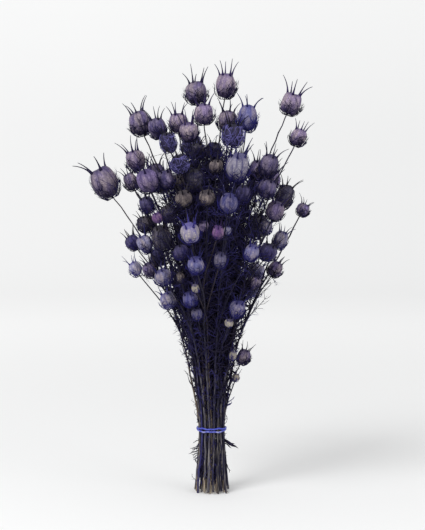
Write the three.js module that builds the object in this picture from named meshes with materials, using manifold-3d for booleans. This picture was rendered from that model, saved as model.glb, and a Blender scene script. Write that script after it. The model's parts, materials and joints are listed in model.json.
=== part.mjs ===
// A tied bunch of dried, dyed nigella: seed pods with horns and thread-like bracts on branching stems.
// It stands on its cut ends and is held by a rubber band wound twice round it.
// Millimetres, +Z up, front towards -Y. The origin is on the surface, under the middle of the outline.
import * as THREE from "three";
import { mergeVertices } from "three/addons/utils/BufferGeometryUtils.js";
import Module from "manifold-3d";

const wasm = await Module();
wasm.setup();

// Driving dimensions
const HEIGHT = 500; // surface to the highest horn tip
const BAND_HEIGHT = 71; // surface to the narrowest place of the bunch, just under the band's middle
const STEM_RINGS = [1, 6, 12, 18, 18]; // stems in each ring of the packing inside the band
const STEM_PITCH = 3.5; // from one ring of stems to the next, inside the band
const FOOT_SPLAY = 1.4; // spread of the cut ends over the spread inside the band
const STEM_RADIUS = { foot: 1.4, top: 0.85 };
const STALK_RADIUS = 0.8; // side stalks
const LEAF_THREAD = { length: 26, radius: 0.5, lowest: 130, highest: 300 };
const BAND = { thickness: 1.9, tilt: 0.06, rise: 1.5, lift: 3, clearance: 0.5 };

// Pod shape: rings of [share of half width, share of length from the middle], bottom to top
const POD_PROFILE = [
  [0, -0.5],
  [0.64, -0.41],
  [1, -0.08],
  [0.8, 0.27],
  [0, 0.47],
];
const SMALL_POD_PROFILE = [
  [0, -0.5],
  [0.95, -0.24],
  [0.92, 0.2],
  [0, 0.47],
];
const SMALL_POD = 18.5; // width below which a pod has flat carpels and fewer bracts
const CARPELS = 5;
const RIB_DEPTH = 0.09; // groove between two carpels, as a share of the half width
const HORN = {
  root: [0.3, 0.3], // place in the pod, as in the profile
  length: 0.86, // share of the pod's width
  radius: 0.042, // share of the pod's width
  lean: 0.5, // radians from the pod's axis
  leanSpread: 0.22,
};
const BRACT = {
  count: 3,
  countOnSmall: 2,
  radius: 0.55,
  root: [0.25, -0.38],
  elbow: [1.1, -0.24],
  tip: [1.24, 0.24],
};
const POD_LEAN = 0.62; // how far a pod follows the slope of its stem

// Where the pods were read: picture coordinates in pixels, from a stated viewpoint
const PICTURE = { axis: 211.5, ground: 491, top: 61 };
const MM_PER_PIXEL = HEIGHT / (PICTURE.ground - PICTURE.top);
const VIEW = { distance: 1450, height: 340 };

// Half width of the whole bunch at each height
const SPREAD = [
  [71, 15],
  [160, 38],
  [222, 64],
  [263, 92],
  [330, 118],
  [400, 106],
  [470, 66],
  [500, 34],
];

// Dye tones of the pods
const TONES = {
  plum: 0x4b3a5e,
  mauve: 0x6d5878,
  violet: 0x3a3268,
  blue: 0x4a4fae,
  lavender: 0x8d8bb4,
  cream: 0xb9b3c0,
  pink: 0x9a5f8a,
  tan: 0x8b7768,
  dark: 0x24202f,
};
const BAND_COLOUR = 0x3b46d8;

// Pods on the near side: x and y of the middle, width and length in pixels,
// depth as a share of the way from the axis (0) to the front (-1) or back (1), and tone
const SEEN_PODS = [
  [141, 122, 20, 25, 0.1, "plum"],
  [158.5, 126.5, 18, 21, -0.1, "plum"],
  [177, 122, 18, 20, -0.1, "mauve"],
  [189, 130.5, 18, 19, -0.5, "mauve"],
  [196.5, 92, 21, 23, 0.1, "plum"],
  [203.5, 113, 19.5, 21, -0.3, "mauve"],
  [168.5, 141, 15, 20, -0.5, "violet"],
  [180, 162, 16, 18, -0.6, "violet"],
  [197, 150, 16, 16, -0.1, "dark"],
  [136, 159, 19, 22, 0.2, "mauve"],
  [105, 181, 26, 32, -0.2, "plum"],
  [131.5, 180, 14, 18, 0.1, "plum"],
  [149, 179, 21, 24, -0.7, "mauve"],
  [166, 178, 16, 19, -0.5, "plum"],
  [178, 181, 14, 15, -0.35, "tan"],
  [195, 178, 18, 21, -0.45, "dark"],
  [225.5, 85, 20, 25, 0.1, "mauve"],
  [227.5, 120, 19, 22, 0, "plum"],
  [247.5, 117, 19, 27, -0.2, "blue"],
  [290.5, 103, 21, 22, 0.1, "mauve"],
  [297.5, 136, 16, 18, -0.1, "mauve"],
  [233, 134, 20, 23, -0.5, "violet"],
  [214, 149, 13, 17, 0, "dark"],
  [216, 165, 14, 14, -0.6, "tan"],
  [237.5, 166, 22, 29, -0.85, "lavender"],
  [258, 168, 16, 20, -0.3, "plum"],
  [268, 164, 18, 23, -0.5, "plum"],
  [147, 203, 15, 17, -0.4, "violet"],
  [157.5, 216, 10, 11, -0.8, "pink"],
  [168, 212, 13, 17, -0.6, "dark"],
  [146, 222, 15, 17, -0.2, "dark"],
  [133.5, 240.5, 14, 16, 0, "violet"],
  [145.5, 242, 15, 19, -0.5, "lavender"],
  [162, 236, 20, 26, -0.6, "dark"],
  [184, 197, 17, 17, -0.75, "tan"],
  [190.5, 231, 19.5, 21, -1, "cream"],
  [181, 250, 15, 15, -0.7, "violet"],
  [196, 263, 17, 17.5, -1, "blue"],
  [207, 196, 16, 16, -0.9, "tan"],
  [228.5, 201, 18, 20, -0.95, "blue"],
  [243, 192, 15, 19, -0.5, "violet"],
  [266.5, 187, 18, 20, -0.5, "plum"],
  [284, 195, 17, 25, 0.1, "dark"],
  [302.5, 208, 12.5, 13.5, 0, "plum"],
  [275, 209, 18, 19, -0.4, "mauve"],
  [267, 226, 10, 14, -0.3, "lavender"],
  [218, 230.5, 12, 14.5, -0.9, "pink"],
  [227, 229, 8, 9, -0.6, "lavender"],
  [204, 225, 10, 11, -0.6, "mauve"],
  [220, 258, 13.5, 17, -0.85, "lavender"],
  [251.5, 250.5, 14.5, 17.5, -0.95, "blue"],
  [268, 250, 17, 18, -0.5, "violet"],
  [280.5, 238, 14, 19, 0, "lavender"],
  [275, 267, 14.5, 16.5, 0, "plum"],
  [135.5, 267, 12.5, 15.5, 0, "lavender"],
  [150, 268, 13.5, 16, -0.3, "plum"],
  [163, 275, 17, 16.5, -0.8, "lavender"],
  [180.5, 275.5, 8, 12, -0.8, "tan"],
  [195.5, 286.5, 8, 9.5, -0.95, "cream"],
  [168.5, 298, 17, 17, -0.6, "lavender"],
  [190, 297, 15, 16, -0.9, "blue"],
  [197, 312, 11, 13.5, -0.9, "lavender"],
  [237.5, 307, 15, 18, -0.95, "blue"],
  [229, 321.5, 9, 8.5, -1, "cream"],
  [255, 281, 11, 14, -0.4, "plum"],
  [233, 354, 8, 10, -0.8, "cream"],
  [243.5, 355, 13, 16, -0.1, "plum"],
  [236, 376, 7, 8, -0.2, "cream"],
];
const FAR_SIDE = { deepest: -0.45, width: 15 }; // near pods this far forward and this wide recur behind

// Laying out
const POD_GAP = 2.5;
const STRAND_GAP = 0.6;
const SETTLE_TURNS = 140;
const LEVEL_STEP = 6; // heights at which strands are kept apart
const CONTROL_STEP = 56; // height of one straight piece of a strand
// A stem swings out towards its pod by two powers of height: it fans out early and bends over late
const STEM_SWEEP = { early: 1.2, late: 3.5, lateShare: 0.45 };
const STALK_SWEEP = { early: 1.3, late: 1.3, lateShare: 0 };
const TWIG_GAP = 0.45;
const TWIG_TRIES = 6;

const UP = new THREE.Vector3(0, 0, 1);

// Seeded random numbers, 0 to 1
function seeded(seed) {
  let state = seed;
  return () => {
    state = (state + 0x6d2b79f5) | 0;
    let t = Math.imul(state ^ (state >>> 15), 1 | state);
    t = (t + Math.imul(t ^ (t >>> 7), 61 | t)) ^ t;
    return ((t ^ (t >>> 14)) >>> 0) / 4294967296;
  };
}
const random = seeded(12);

// Value at x on a line through [x, value] pairs
function along(line, x) {
  const k = Math.max(1, line.findIndex(([at]) => at >= x));
  const [[x0, v0], [x1, v1]] = [line[k - 1], line[k]];
  return v0 + ((v1 - v0) * (x - x0)) / (x1 - x0);
}

// A pod read from the picture, set at its depth along the line of sight
function seenPod([px, py, width, length, depth, tone]) {
  const x = (px - PICTURE.axis) * MM_PER_PIXEL;
  const z = (PICTURE.ground - py) * MM_PER_PIXEL;
  const reach = along(SPREAD, z);
  const y = depth * Math.sqrt(Math.max(0, reach * reach - x * x));
  const near = 1 + y / VIEW.distance;
  return {
    middle: new THREE.Vector3(x * near, y, VIEW.height + (z - VIEW.height) * near),
    width: width * MM_PER_PIXEL * near,
    length: length * MM_PER_PIXEL * near,
    depth,
    tone,
    turn: random() * Math.PI,
  };
}

// The larger near pods recur on the far side, half a turn round the axis
function farPod(pod) {
  const middle = new THREE.Vector3(-pod.middle.x, -pod.middle.y, pod.middle.z + 24 * (random() - 0.5));
  return { ...pod, middle, depth: -pod.depth, turn: random() * Math.PI };
}

function makePods() {
  const seen = SEEN_PODS.map(seenPod);
  const isFar = (pod) => pod.depth < FAR_SIDE.deepest && pod.width > FAR_SIDE.width * MM_PER_PIXEL;
  const pods = [...seen, ...seen.filter(isFar).map(farPod)];
  pods.forEach((pod) => (pod.reach = (pod.width + pod.length) / 4));
  separate(pods);
  return pods;
}

// Pods that would touch move apart, mostly along the line of sight
function separate(pods) {
  const yielding = new THREE.Vector3(0.2, 1, 0.2);
  for (let turn = 0; turn < SETTLE_TURNS; turn++) {
    const moves = pods.map(() => new THREE.Vector3());
    pods.forEach((a, i) =>
      pods.slice(0, i).forEach((b, j) => {
        const apart = a.middle.clone().sub(b.middle);
        const short = a.reach + b.reach + POD_GAP - apart.length();
        if (short <= 0) return;
        apart.normalize().multiply(yielding).multiplyScalar(short / 2);
        moves[i].add(apart);
        moves[j].sub(apart);
      }),
    );
    pods.forEach((pod, i) => pod.middle.add(moves[i]));
  }
}

// A stem or side stalk as straight pieces between control points, one [x, y] at each height
class Strand {
  constructor(stem, pod, heights, points, radius) {
    Object.assign(this, { stem, pod, heights, points, radius });
    this.rest = points.map((p) => [...p]);
    this.fixed = points.map((_, k) => k === points.length - 1);
  }
  spans(z) {
    return z >= this.heights[0] && z <= this.heights.at(-1);
  }
  // Piece number and share of the way along it at height z
  piece(z) {
    const k = Math.max(1, this.heights.findIndex((h) => h >= z));
    return [k - 1, (z - this.heights[k - 1]) / (this.heights[k] - this.heights[k - 1])];
  }
  at(z) {
    const [k, share] = this.piece(z);
    return [0, 1].map((i) => this.points[k][i] * (1 - share) + this.points[k + 1][i] * share);
  }
  // Half width of the level cut at height z, which grows as the strand leans
  halfWidth(z) {
    const [k] = this.piece(z);
    const rise = this.heights[k + 1] - this.heights[k];
    const [x, y] = [0, 1].map((i) => this.points[k + 1][i] - this.points[k][i]);
    const run = Math.hypot(x, y);
    return this.radius * Math.hypot(1, run / rise);
  }
  vectors() {
    return this.points.map(([x, y], k) => new THREE.Vector3(x, y, this.heights[k]));
  }
}

// Slots of the stems inside the band: rings of even pitch, the first at the middle
function bandSlots() {
  return STEM_RINGS.flatMap((count, ring) =>
    Array.from({ length: count }, (_, k) => {
      const angle = ((k + 0.5 * (ring % 2)) / count) * 2 * Math.PI;
      return [ring * STEM_PITCH * Math.cos(angle), ring * STEM_PITCH * Math.sin(angle)];
    }),
  );
}

// Each stem's pod takes the free slot that lies its way, the widest spreading first
function chooseSlots(pods) {
  const free = bandSlots();
  const rim = (STEM_RINGS.length - 1) * STEM_PITCH;
  const slope = (pod) => Math.hypot(pod.middle.x, pod.middle.y) / (pod.middle.z - BAND_HEIGHT);
  const order = [...pods].sort((a, b) => slope(b) - slope(a));
  order.forEach((pod, rank) => {
    const angle = Math.atan2(pod.middle.y, pod.middle.x);
    const radius = rim * Math.sqrt(1 - rank / order.length);
    const away = ([x, y]) => Math.hypot(x - radius * Math.cos(angle), y - radius * Math.sin(angle));
    free.sort((a, b) => away(a) - away(b));
    pod.slot = free.shift();
  });
}

// Control heights from the lower to the upper end, about CONTROL_STEP apart
function controlHeights(low, high) {
  const pieces = Math.max(2, Math.round((high - low) / CONTROL_STEP));
  return Array.from({ length: pieces + 1 }, (_, k) => low + ((high - low) * k) / pieces);
}

// Leans the pod with its strand and gives the point where the strand enters it
function rootOf(pod, from, fromHeight, sweep) {
  const rise = pod.middle.z - fromHeight;
  const endSlope = sweep.early * (1 - sweep.lateShare) + sweep.late * sweep.lateShare;
  const lean = (POD_LEAN * endSlope) / rise;
  const [x, y] = [pod.middle.x - from[0], pod.middle.y - from[1]];
  pod.axis = new THREE.Vector3(x * lean, y * lean, 1).normalize();
  return pod.middle.clone().addScaledVector(pod.axis, -0.3 * pod.length);
}

// Points at the given heights on a curve that swings out from one end to the other
function sweepPoints(heights, from, root, sweep) {
  const [low, high] = [heights[0], heights.at(-1)];
  return heights.map((z) => {
    const way = (z - low) / (high - low);
    const share = way ** sweep.early * (1 - sweep.lateShare) + way ** sweep.late * sweep.lateShare;
    return [from[0] + (root.x - from[0]) * share, from[1] + (root.y - from[1]) * share];
  });
}

function makeStem(pod, stem) {
  const root = rootOf(pod, pod.slot, BAND_HEIGHT, STEM_SWEEP);
  const heights = controlHeights(BAND_HEIGHT, root.z);
  const points = sweepPoints(heights, pod.slot, root, STEM_SWEEP);
  const foot = pod.slot.map((c) => c * FOOT_SPLAY);
  const strand = new Strand(stem, pod, [0, ...heights], [foot, ...points], STEM_RADIUS.foot);
  strand.fixed[0] = strand.fixed[1] = true;
  return strand;
}

// A side stalk leaves the nearest stem that has room for it
function makeStalk(pod, stems) {
  const level = Math.max(BAND_HEIGHT + 20, pod.middle.z - pod.length / 2 - 45);
  const away = (s) => Math.hypot(s.at(level)[0] - pod.middle.x, s.at(level)[1] - pod.middle.y);
  const open = stems.filter((s) => s.spans(level + 30) && s.stalks < 2);
  const parent = open.reduce((best, s) => (away(s) < away(best) ? s : best));
  parent.stalks += 1;
  const drop = THREE.MathUtils.clamp(1.6 * away(parent), 50, 110);
  const fork = Math.max(BAND_HEIGHT + 14, pod.middle.z - pod.length / 2 - drop);
  const root = rootOf(pod, parent.at(fork), fork, STALK_SWEEP);
  const heights = controlHeights(fork, root.z);
  const points = sweepPoints(heights, parent.at(fork), root, STALK_SWEEP);
  const stalk = new Strand(parent.stem, pod, heights, points, STALK_RADIUS);
  stalk.parent = parent;
  stalk.fixed[0] = true;
  return stalk;
}

// Bends strands until they clear each other and the pods, level by level
function bendClear(strands, pods) {
  const highest = Math.max(...pods.map((pod) => pod.middle.z));
  for (let turn = 0; turn < SETTLE_TURNS; turn++) {
    strands.forEach((s) => (s.moves = s.points.map(() => [0, 0, 0])));
    for (let z = BAND_HEIGHT + LEVEL_STEP; z < highest; z += LEVEL_STEP) keepApart(strands, pods, z);
    strands.forEach((s) => relax(s, turn < 0.8 * SETTLE_TURNS));
    strands.filter((s) => s.parent).forEach((s) => (s.points[0] = s.parent.at(s.heights[0])));
  }
}

function keepApart(strands, pods, z) {
  const cuts = strands
    .filter((s) => s.spans(z))
    .map((s) => ({ strand: s, at: s.at(z), half: s.halfWidth(z), piece: s.piece(z) }));
  cuts.forEach((a, i) => {
    cuts.slice(0, i).forEach((b) => {
      if (a.strand.stem !== b.strand.stem) pushApart(a, b.at, a.half + b.half + STRAND_GAP, 0.5, b);
    });
    pods.forEach((pod) => {
      const reach = pod.reach + STRAND_GAP;
      const drop = z - pod.middle.z;
      if (pod === a.strand.pod || Math.abs(drop) >= reach) return;
      pushApart(a, [pod.middle.x, pod.middle.y], Math.sqrt(reach * reach - drop * drop) + a.half, 1, null);
    });
  });
}

// Notes the move that takes cut a, and b if it gives way too, to the wanted distance
function pushApart(a, centre, wanted, share, b) {
  const [dx, dy] = [a.at[0] - centre[0], a.at[1] - centre[1]];
  const distance = Math.hypot(dx, dy) + 1e-6;
  if (distance >= wanted) return;
  const push = (share * (wanted - distance)) / distance;
  note(a, dx * push, dy * push);
  if (b) note(b, -dx * push, -dy * push);
}

function note({ strand, piece: [k, share] }, dx, dy) {
  [1 - share, share].forEach((weight, i) => {
    const move = strand.moves[k + i];
    move[0] += dx * weight;
    move[1] += dy * weight;
    move[2] += weight;
  });
}

// Applies the noted moves, and evens out the bend while it is still settling
function relax(strand, even) {
  strand.points.forEach((p, k) => {
    const [dx, dy, weight] = strand.moves[k];
    if (strand.fixed[k] || weight === 0) return;
    p[0] += dx / weight;
    p[1] += dy / weight;
  });
  if (!even) return;
  const bend = strand.points.map((p, k) => [p[0] - strand.rest[k][0], p[1] - strand.rest[k][1]]);
  strand.points.forEach((p, k) => {
    if (strand.fixed[k]) return;
    [0, 1].forEach((i) => (p[i] += 0.12 * ((bend[k - 1][i] + bend[k + 1][i]) / 2 - bend[k][i])));
  });
}

// A closed geometry as a solid for joining
function solidOf(geometry) {
  geometry.deleteAttribute("normal");
  geometry.deleteAttribute("uv");
  const merged = mergeVertices(geometry, 1e-3);
  const index = merged.index.array;
  const kept = [];
  for (let i = 0; i < index.length; i += 3) {
    const [a, b, c] = index.subarray(i, i + 3);
    if (a !== b && b !== c && c !== a) kept.push(a, b, c);
  }
  const triVerts = new Uint32Array(kept);
  const vertProperties = merged.attributes.position.array;
  return new wasm.Manifold(new wasm.Mesh({ numProp: 3, vertProperties, triVerts }));
}

function geometryOf(solid) {
  const { vertProperties, triVerts } = solid.getMesh();
  const geometry = new THREE.BufferGeometry();
  geometry.setAttribute("position", new THREE.BufferAttribute(vertProperties, 3));
  geometry.setIndex(new THREE.BufferAttribute(triVerts, 1));
  geometry.computeVertexNormals();
  return geometry;
}

// Straight pieces through points, with one step of a swept section for each
class PieceLine extends THREE.Curve {
  constructor(points) {
    super();
    this.points = points;
  }
  getUtoTmapping(u) {
    return u;
  }
  getPoint(t, target = new THREE.Vector3()) {
    const place = t * (this.points.length - 1);
    const k = Math.min(Math.floor(place), this.points.length - 2);
    return target.lerpVectors(this.points[k], this.points[k + 1], place - k);
  }
}

// A tapered rod through points, one radius at each; a radius of 0 at an end makes a point
function rod(points, radii, sides) {
  const corners = Array.from({ length: sides }, (_, k) => (2 * Math.PI * k) / sides);
  const section = new THREE.Shape(corners.map((a) => new THREE.Vector2(Math.cos(a), Math.sin(a))));
  const path = new PieceLine(points);
  const geometry = new THREE.ExtrudeGeometry(section, { steps: points.length - 1, extrudePath: path });
  const position = geometry.attributes.position;
  const corner = new THREE.Vector3();
  for (let i = 0; i < position.count; i++) {
    corner.fromBufferAttribute(position, i);
    const distances = points.map((p) => p.distanceToSquared(corner));
    const k = distances.indexOf(Math.min(...distances));
    corner.sub(points[k]).multiplyScalar(radii[k]).add(points[k]);
    position.setXYZ(i, corner.x, corner.y, corner.z);
  }
  return geometry;
}

// The stem's rod, its lower end cut level on the surface
function stemRod(strand) {
  const points = strand.vectors();
  const top = points.at(-1).z;
  const radii = points.map((p) => THREE.MathUtils.lerp(STEM_RADIUS.foot, STEM_RADIUS.top, p.z / top));
  const geometry = rod(points, radii, 3);
  const position = geometry.attributes.position;
  for (let i = 0; i < position.count; i++) {
    if (position.getZ(i) < 2 * STEM_RADIUS.foot) position.setZ(i, 0);
  }
  return geometry;
}

function stalkRod(strand) {
  const points = strand.vectors();
  return rod(points, points.map(() => STALK_RADIUS), 3);
}

// A point near a pod: half widths out at an angle round it, and lengths along it from the middle
function podPoint(pod, out, angle, height) {
  const spin = new THREE.Quaternion().setFromUnitVectors(UP, pod.axis);
  const radius = (out * pod.width) / 2;
  const offset = new THREE.Vector3(radius * Math.cos(angle), radius * Math.sin(angle), height * pod.length);
  return offset.applyQuaternion(spin).add(pod.middle);
}

const isSmall = (pod) => pod.width < SMALL_POD;
const podSides = (pod) => (isSmall(pod) ? CARPELS : 2 * CARPELS);

// The pod's body: a lathe whose half width swells on each carpel and dips in the groove between two
function podBody(pod) {
  const rings = isSmall(pod) ? SMALL_POD_PROFILE : POD_PROFILE;
  const half = pod.width / 2;
  const profile = rings.map(([out, height]) => new THREE.Vector2(out * half, height * pod.length));
  const geometry = new THREE.LatheGeometry(profile, podSides(pod));
  const position = geometry.attributes.position;
  for (let i = 0; i < position.count; i++) {
    const [x, z] = [position.getX(i), position.getZ(i)];
    const groove = 1 - RIB_DEPTH * (0.5 - 0.5 * Math.cos(CARPELS * Math.atan2(x, z)));
    position.setX(i, x * groove);
    position.setZ(i, z * groove);
  }
  geometry.rotateX(Math.PI / 2).rotateZ(pod.turn + Math.PI / 2);
  geometry.applyQuaternion(new THREE.Quaternion().setFromUnitVectors(UP, pod.axis));
  return geometry.translate(...pod.middle);
}

// Twigs already standing, as thick lines, so that the next one can keep clear of them
class Thicket {
  lines = [];
  add(stem, points, radius) {
    points.slice(1).forEach((end, k) => {
      this.lines.push({ stem, radius, line: new THREE.Line3(points[k], end) });
    });
  }
  isClear(stem, points, radius) {
    return points.slice(1).every((end, k) => {
      const twig = new THREE.Line3(points[k], end);
      return this.lines.every((other) => {
        const wanted = radius + other.radius + TWIG_GAP;
        return other.stem === stem || other.line.distanceSqToLine3(twig) > wanted * wanted;
      });
    });
  }
}

// Grows a twig where it has room, trying a few turns round, and returns its rod or nothing
function growTwig(thicket, stem, makePoints, radii, tryTurn) {
  const thickest = Math.max(...radii);
  for (let k = 0; k < TWIG_TRIES; k++) {
    const points = makePoints(tryTurn * (k % 2 ? -1 : 1) * Math.ceil(k / 2));
    const lowest = Math.min(...points.map((p) => p.z));
    if (lowest < BAND_HEIGHT + 10 || !thicket.isClear(stem, points, thickest)) continue;
    thicket.add(stem, points, thickest);
    return [rod(points, radii, 3)];
  }
  return [];
}

// Styles left standing as horns, one on each carpel
function horns(pod, stem, thicket) {
  return Array.from({ length: CARPELS }, (_, k) => {
    const angle = pod.turn + (2 * Math.PI * k) / CARPELS;
    const lean = HORN.lean + HORN.leanSpread * (2 * random() - 1);
    const length = HORN.length * pod.width * (0.85 + 0.3 * random());
    const radius = Math.max(0.45, HORN.radius * pod.width);
    return growTwig(
      thicket,
      stem,
      (turn) => {
        const root = podPoint(pod, HORN.root[0], angle + turn, HORN.root[1]);
        const out = podPoint(pod, 1, angle + turn, 0).sub(pod.middle).normalize();
        const way = out.multiplyScalar(Math.sin(lean)).addScaledVector(pod.axis, Math.cos(lean));
        return [root, root.clone().addScaledVector(way, length)];
      },
      [radius, 0],
      0.2,
    );
  }).flat();
}

// Thread-like bracts that leave the foot of the pod and curl up round it, each rooted inside one facet
function bracts(pod, stem, thicket) {
  const sides = podSides(pod);
  const share = isSmall(pod) ? 1 / 2 : 1 / 3;
  const count = isSmall(pod) ? BRACT.countOnSmall : BRACT.count;
  return Array.from({ length: count }, (_, k) => {
    const angle = pod.turn + ((Math.floor((sides * k) / count) + share) * 2 * Math.PI) / sides;
    return growTwig(
      thicket,
      stem,
      (turn) => [BRACT.root, BRACT.elbow, BRACT.tip].map(([r, h]) => podPoint(pod, r, angle + turn, h)),
      [0, BRACT.radius, 0],
      (2 * Math.PI) / sides,
    );
  }).flat();
}

// A thread of the finely cut leaves, standing off the stem at a slant
function leafThread(strand, thicket) {
  const wanted = THREE.MathUtils.lerp(LEAF_THREAD.lowest, LEAF_THREAD.highest, random());
  const z = Math.min(wanted, strand.heights.at(-1) - LEAF_THREAD.length);
  const angle = 2 * Math.PI * random();
  const root = new THREE.Vector3(...strand.at(z), z);
  return growTwig(
    thicket,
    strand.stem,
    (turn) => {
      const way = new THREE.Vector3(Math.cos(angle + turn), Math.sin(angle + turn), 1.1).normalize();
      return [root, root.clone().addScaledVector(way, LEAF_THREAD.length)];
    },
    [LEAF_THREAD.radius, 0],
    1,
  );
}

// The rubber band: two turns that cross behind and part in front, fused into one loop
function bandBody() {
  const rim = (STEM_RINGS.length - 1) * STEM_PITCH + STEM_RADIUS.foot;
  const radius = rim + BAND.clearance + BAND.thickness / 2;
  const turn = (tilt, rise) => {
    const loop = new THREE.TorusGeometry(radius, BAND.thickness / 2, 5, 24);
    return solidOf(loop.rotateX(tilt).translate(0, 0, BAND_HEIGHT + rise));
  };
  const [upper, lower] = [BAND.lift + BAND.rise / 2, BAND.lift - BAND.rise / 2];
  return turn(-BAND.tilt, upper).add(turn(BAND.tilt, lower));
}

function meshOf(name, solid, colour, roughness) {
  const material = new THREE.MeshStandardMaterial({ color: colour, roughness, metalness: 0 });
  const mesh = new THREE.Mesh(geometryOf(solid), material);
  mesh.name = name;
  return mesh;
}

// Moves the bunch so that the origin lies under the middle of its outline
function centred(bunch) {
  const middle = new THREE.Box3().setFromObject(bunch).getCenter(new THREE.Vector3());
  bunch.position.set(-middle.x, -middle.y, 0);
  return bunch;
}

// The tallest and widest pods stand on stems of their own, and the others on side stalks
function makeBunch() {
  const stature = (pod) => pod.middle.z + 3 * pod.width;
  const pods = makePods().sort((a, b) => stature(b) - stature(a));
  const stemCount = STEM_RINGS.reduce((sum, count) => sum + count);
  const stemPods = pods.slice(0, stemCount);
  chooseSlots(stemPods);
  const stems = stemPods.map(makeStem);
  stems.forEach((s) => (s.stalks = 0));
  const stalks = pods.slice(stemCount).map((pod) => makeStalk(pod, stems));
  const strands = [...stems, ...stalks];
  bendClear(strands, pods);

  const thicket = new Thicket();
  strands.forEach((s) => {
    thicket.add(s.stem, s.vectors(), s.radius);
    const core = (s.pod.length - s.pod.width) / (2 * s.pod.length);
    thicket.add(s.stem, [podPoint(s.pod, 0, 0, -core), podPoint(s.pod, 0, 0, core)], s.pod.width / 2);
  });

  const bunch = new THREE.Group();
  stems.forEach((stem) => {
    const own = strands.filter((s) => s.stem === stem.stem);
    const pieces = [stemRod(stem), ...own.slice(1).map(stalkRod)];
    own.forEach((s) => pieces.push(podBody(s.pod)));
    own.forEach((s) => pieces.push(...horns(s.pod, s.stem, thicket), ...bracts(s.pod, s.stem, thicket)));
    pieces.push(...leafThread(stem, thicket));
    const solid = pieces.map(solidOf).reduce((whole, piece) => whole.add(piece));
    const name = `stem_${String(stem.stem + 1).padStart(2, "0")}`;
    bunch.add(meshOf(name, solid, TONES[stem.pod.tone], 0.85));
  });
  bunch.add(meshOf("band", bandBody(), BAND_COLOUR, 0.45));
  return centred(bunch);
}

export default makeBunch();
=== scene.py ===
"""The looks of a tied bunch of dried, dyed nigella seed pods, standing on its cut ends.

Each stem of the frame is replaced by a finer one in the same place: a furrowed stalk with ribbed pods,
curved horns, a net of thread-like bracts and feathery leaf threads. The rubber band is wound twice.
Lengths are in millimetres while the bunch is laid out and become metres when a mesh is made.
"""

from __future__ import annotations

import json
import logging
import math
import random
from dataclasses import dataclass, field
from enum import Enum
from typing import Any, NamedTuple, Optional, Sequence, Union

import bmesh
import bpy
import numpy as np
from mathutils import Matrix, Vector, noise

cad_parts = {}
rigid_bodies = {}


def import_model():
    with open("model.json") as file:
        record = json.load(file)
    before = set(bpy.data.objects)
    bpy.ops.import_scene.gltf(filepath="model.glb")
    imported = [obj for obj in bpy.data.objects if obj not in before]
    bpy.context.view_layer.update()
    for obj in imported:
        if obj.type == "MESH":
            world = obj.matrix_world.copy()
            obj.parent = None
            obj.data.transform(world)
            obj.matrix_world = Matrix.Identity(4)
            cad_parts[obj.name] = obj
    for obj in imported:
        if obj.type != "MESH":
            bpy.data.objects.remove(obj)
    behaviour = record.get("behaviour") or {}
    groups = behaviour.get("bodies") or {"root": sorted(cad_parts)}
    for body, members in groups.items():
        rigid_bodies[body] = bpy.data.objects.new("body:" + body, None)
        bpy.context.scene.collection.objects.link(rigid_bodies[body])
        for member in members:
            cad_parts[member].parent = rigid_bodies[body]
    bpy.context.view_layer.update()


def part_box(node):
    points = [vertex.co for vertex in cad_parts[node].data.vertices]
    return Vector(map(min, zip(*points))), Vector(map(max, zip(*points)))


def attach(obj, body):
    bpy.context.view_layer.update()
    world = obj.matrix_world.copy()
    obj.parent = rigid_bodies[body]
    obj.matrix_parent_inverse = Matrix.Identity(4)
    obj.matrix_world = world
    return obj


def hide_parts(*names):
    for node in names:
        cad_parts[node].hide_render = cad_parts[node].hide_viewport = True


LOG = logging.getLogger("nigella")

MM = 0.001
TAU = 2 * math.pi
Pair = tuple[float, float]
Triple = tuple[float, float, float]
Colour = Triple
Profile = tuple[Pair, ...]


def from_hex(code: int) -> Colour:
    """Linear colour of a hexadecimal screen colour."""
    channels = ((code >> shift & 255) / 255 for shift in (16, 8, 0))
    return tuple(c / 12.92 if c <= 0.04045 else ((c + 0.055) / 1.055) ** 2.4 for c in channels)


def blend(first: Colour, second: Colour, share: float) -> Colour:
    """A colour between two, by the share of the second."""
    return tuple(np.array(first) * (1 - share) + np.array(second) * share)


def unit(vector: np.ndarray) -> np.ndarray:
    """The vector at a length of one."""
    return vector / np.linalg.norm(vector)


def read_profile(profile: Profile, heights: Any) -> Any:
    """Values of a profile, given as heights and values, at one height or several."""
    return np.interp(heights, *zip(*profile))


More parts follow.
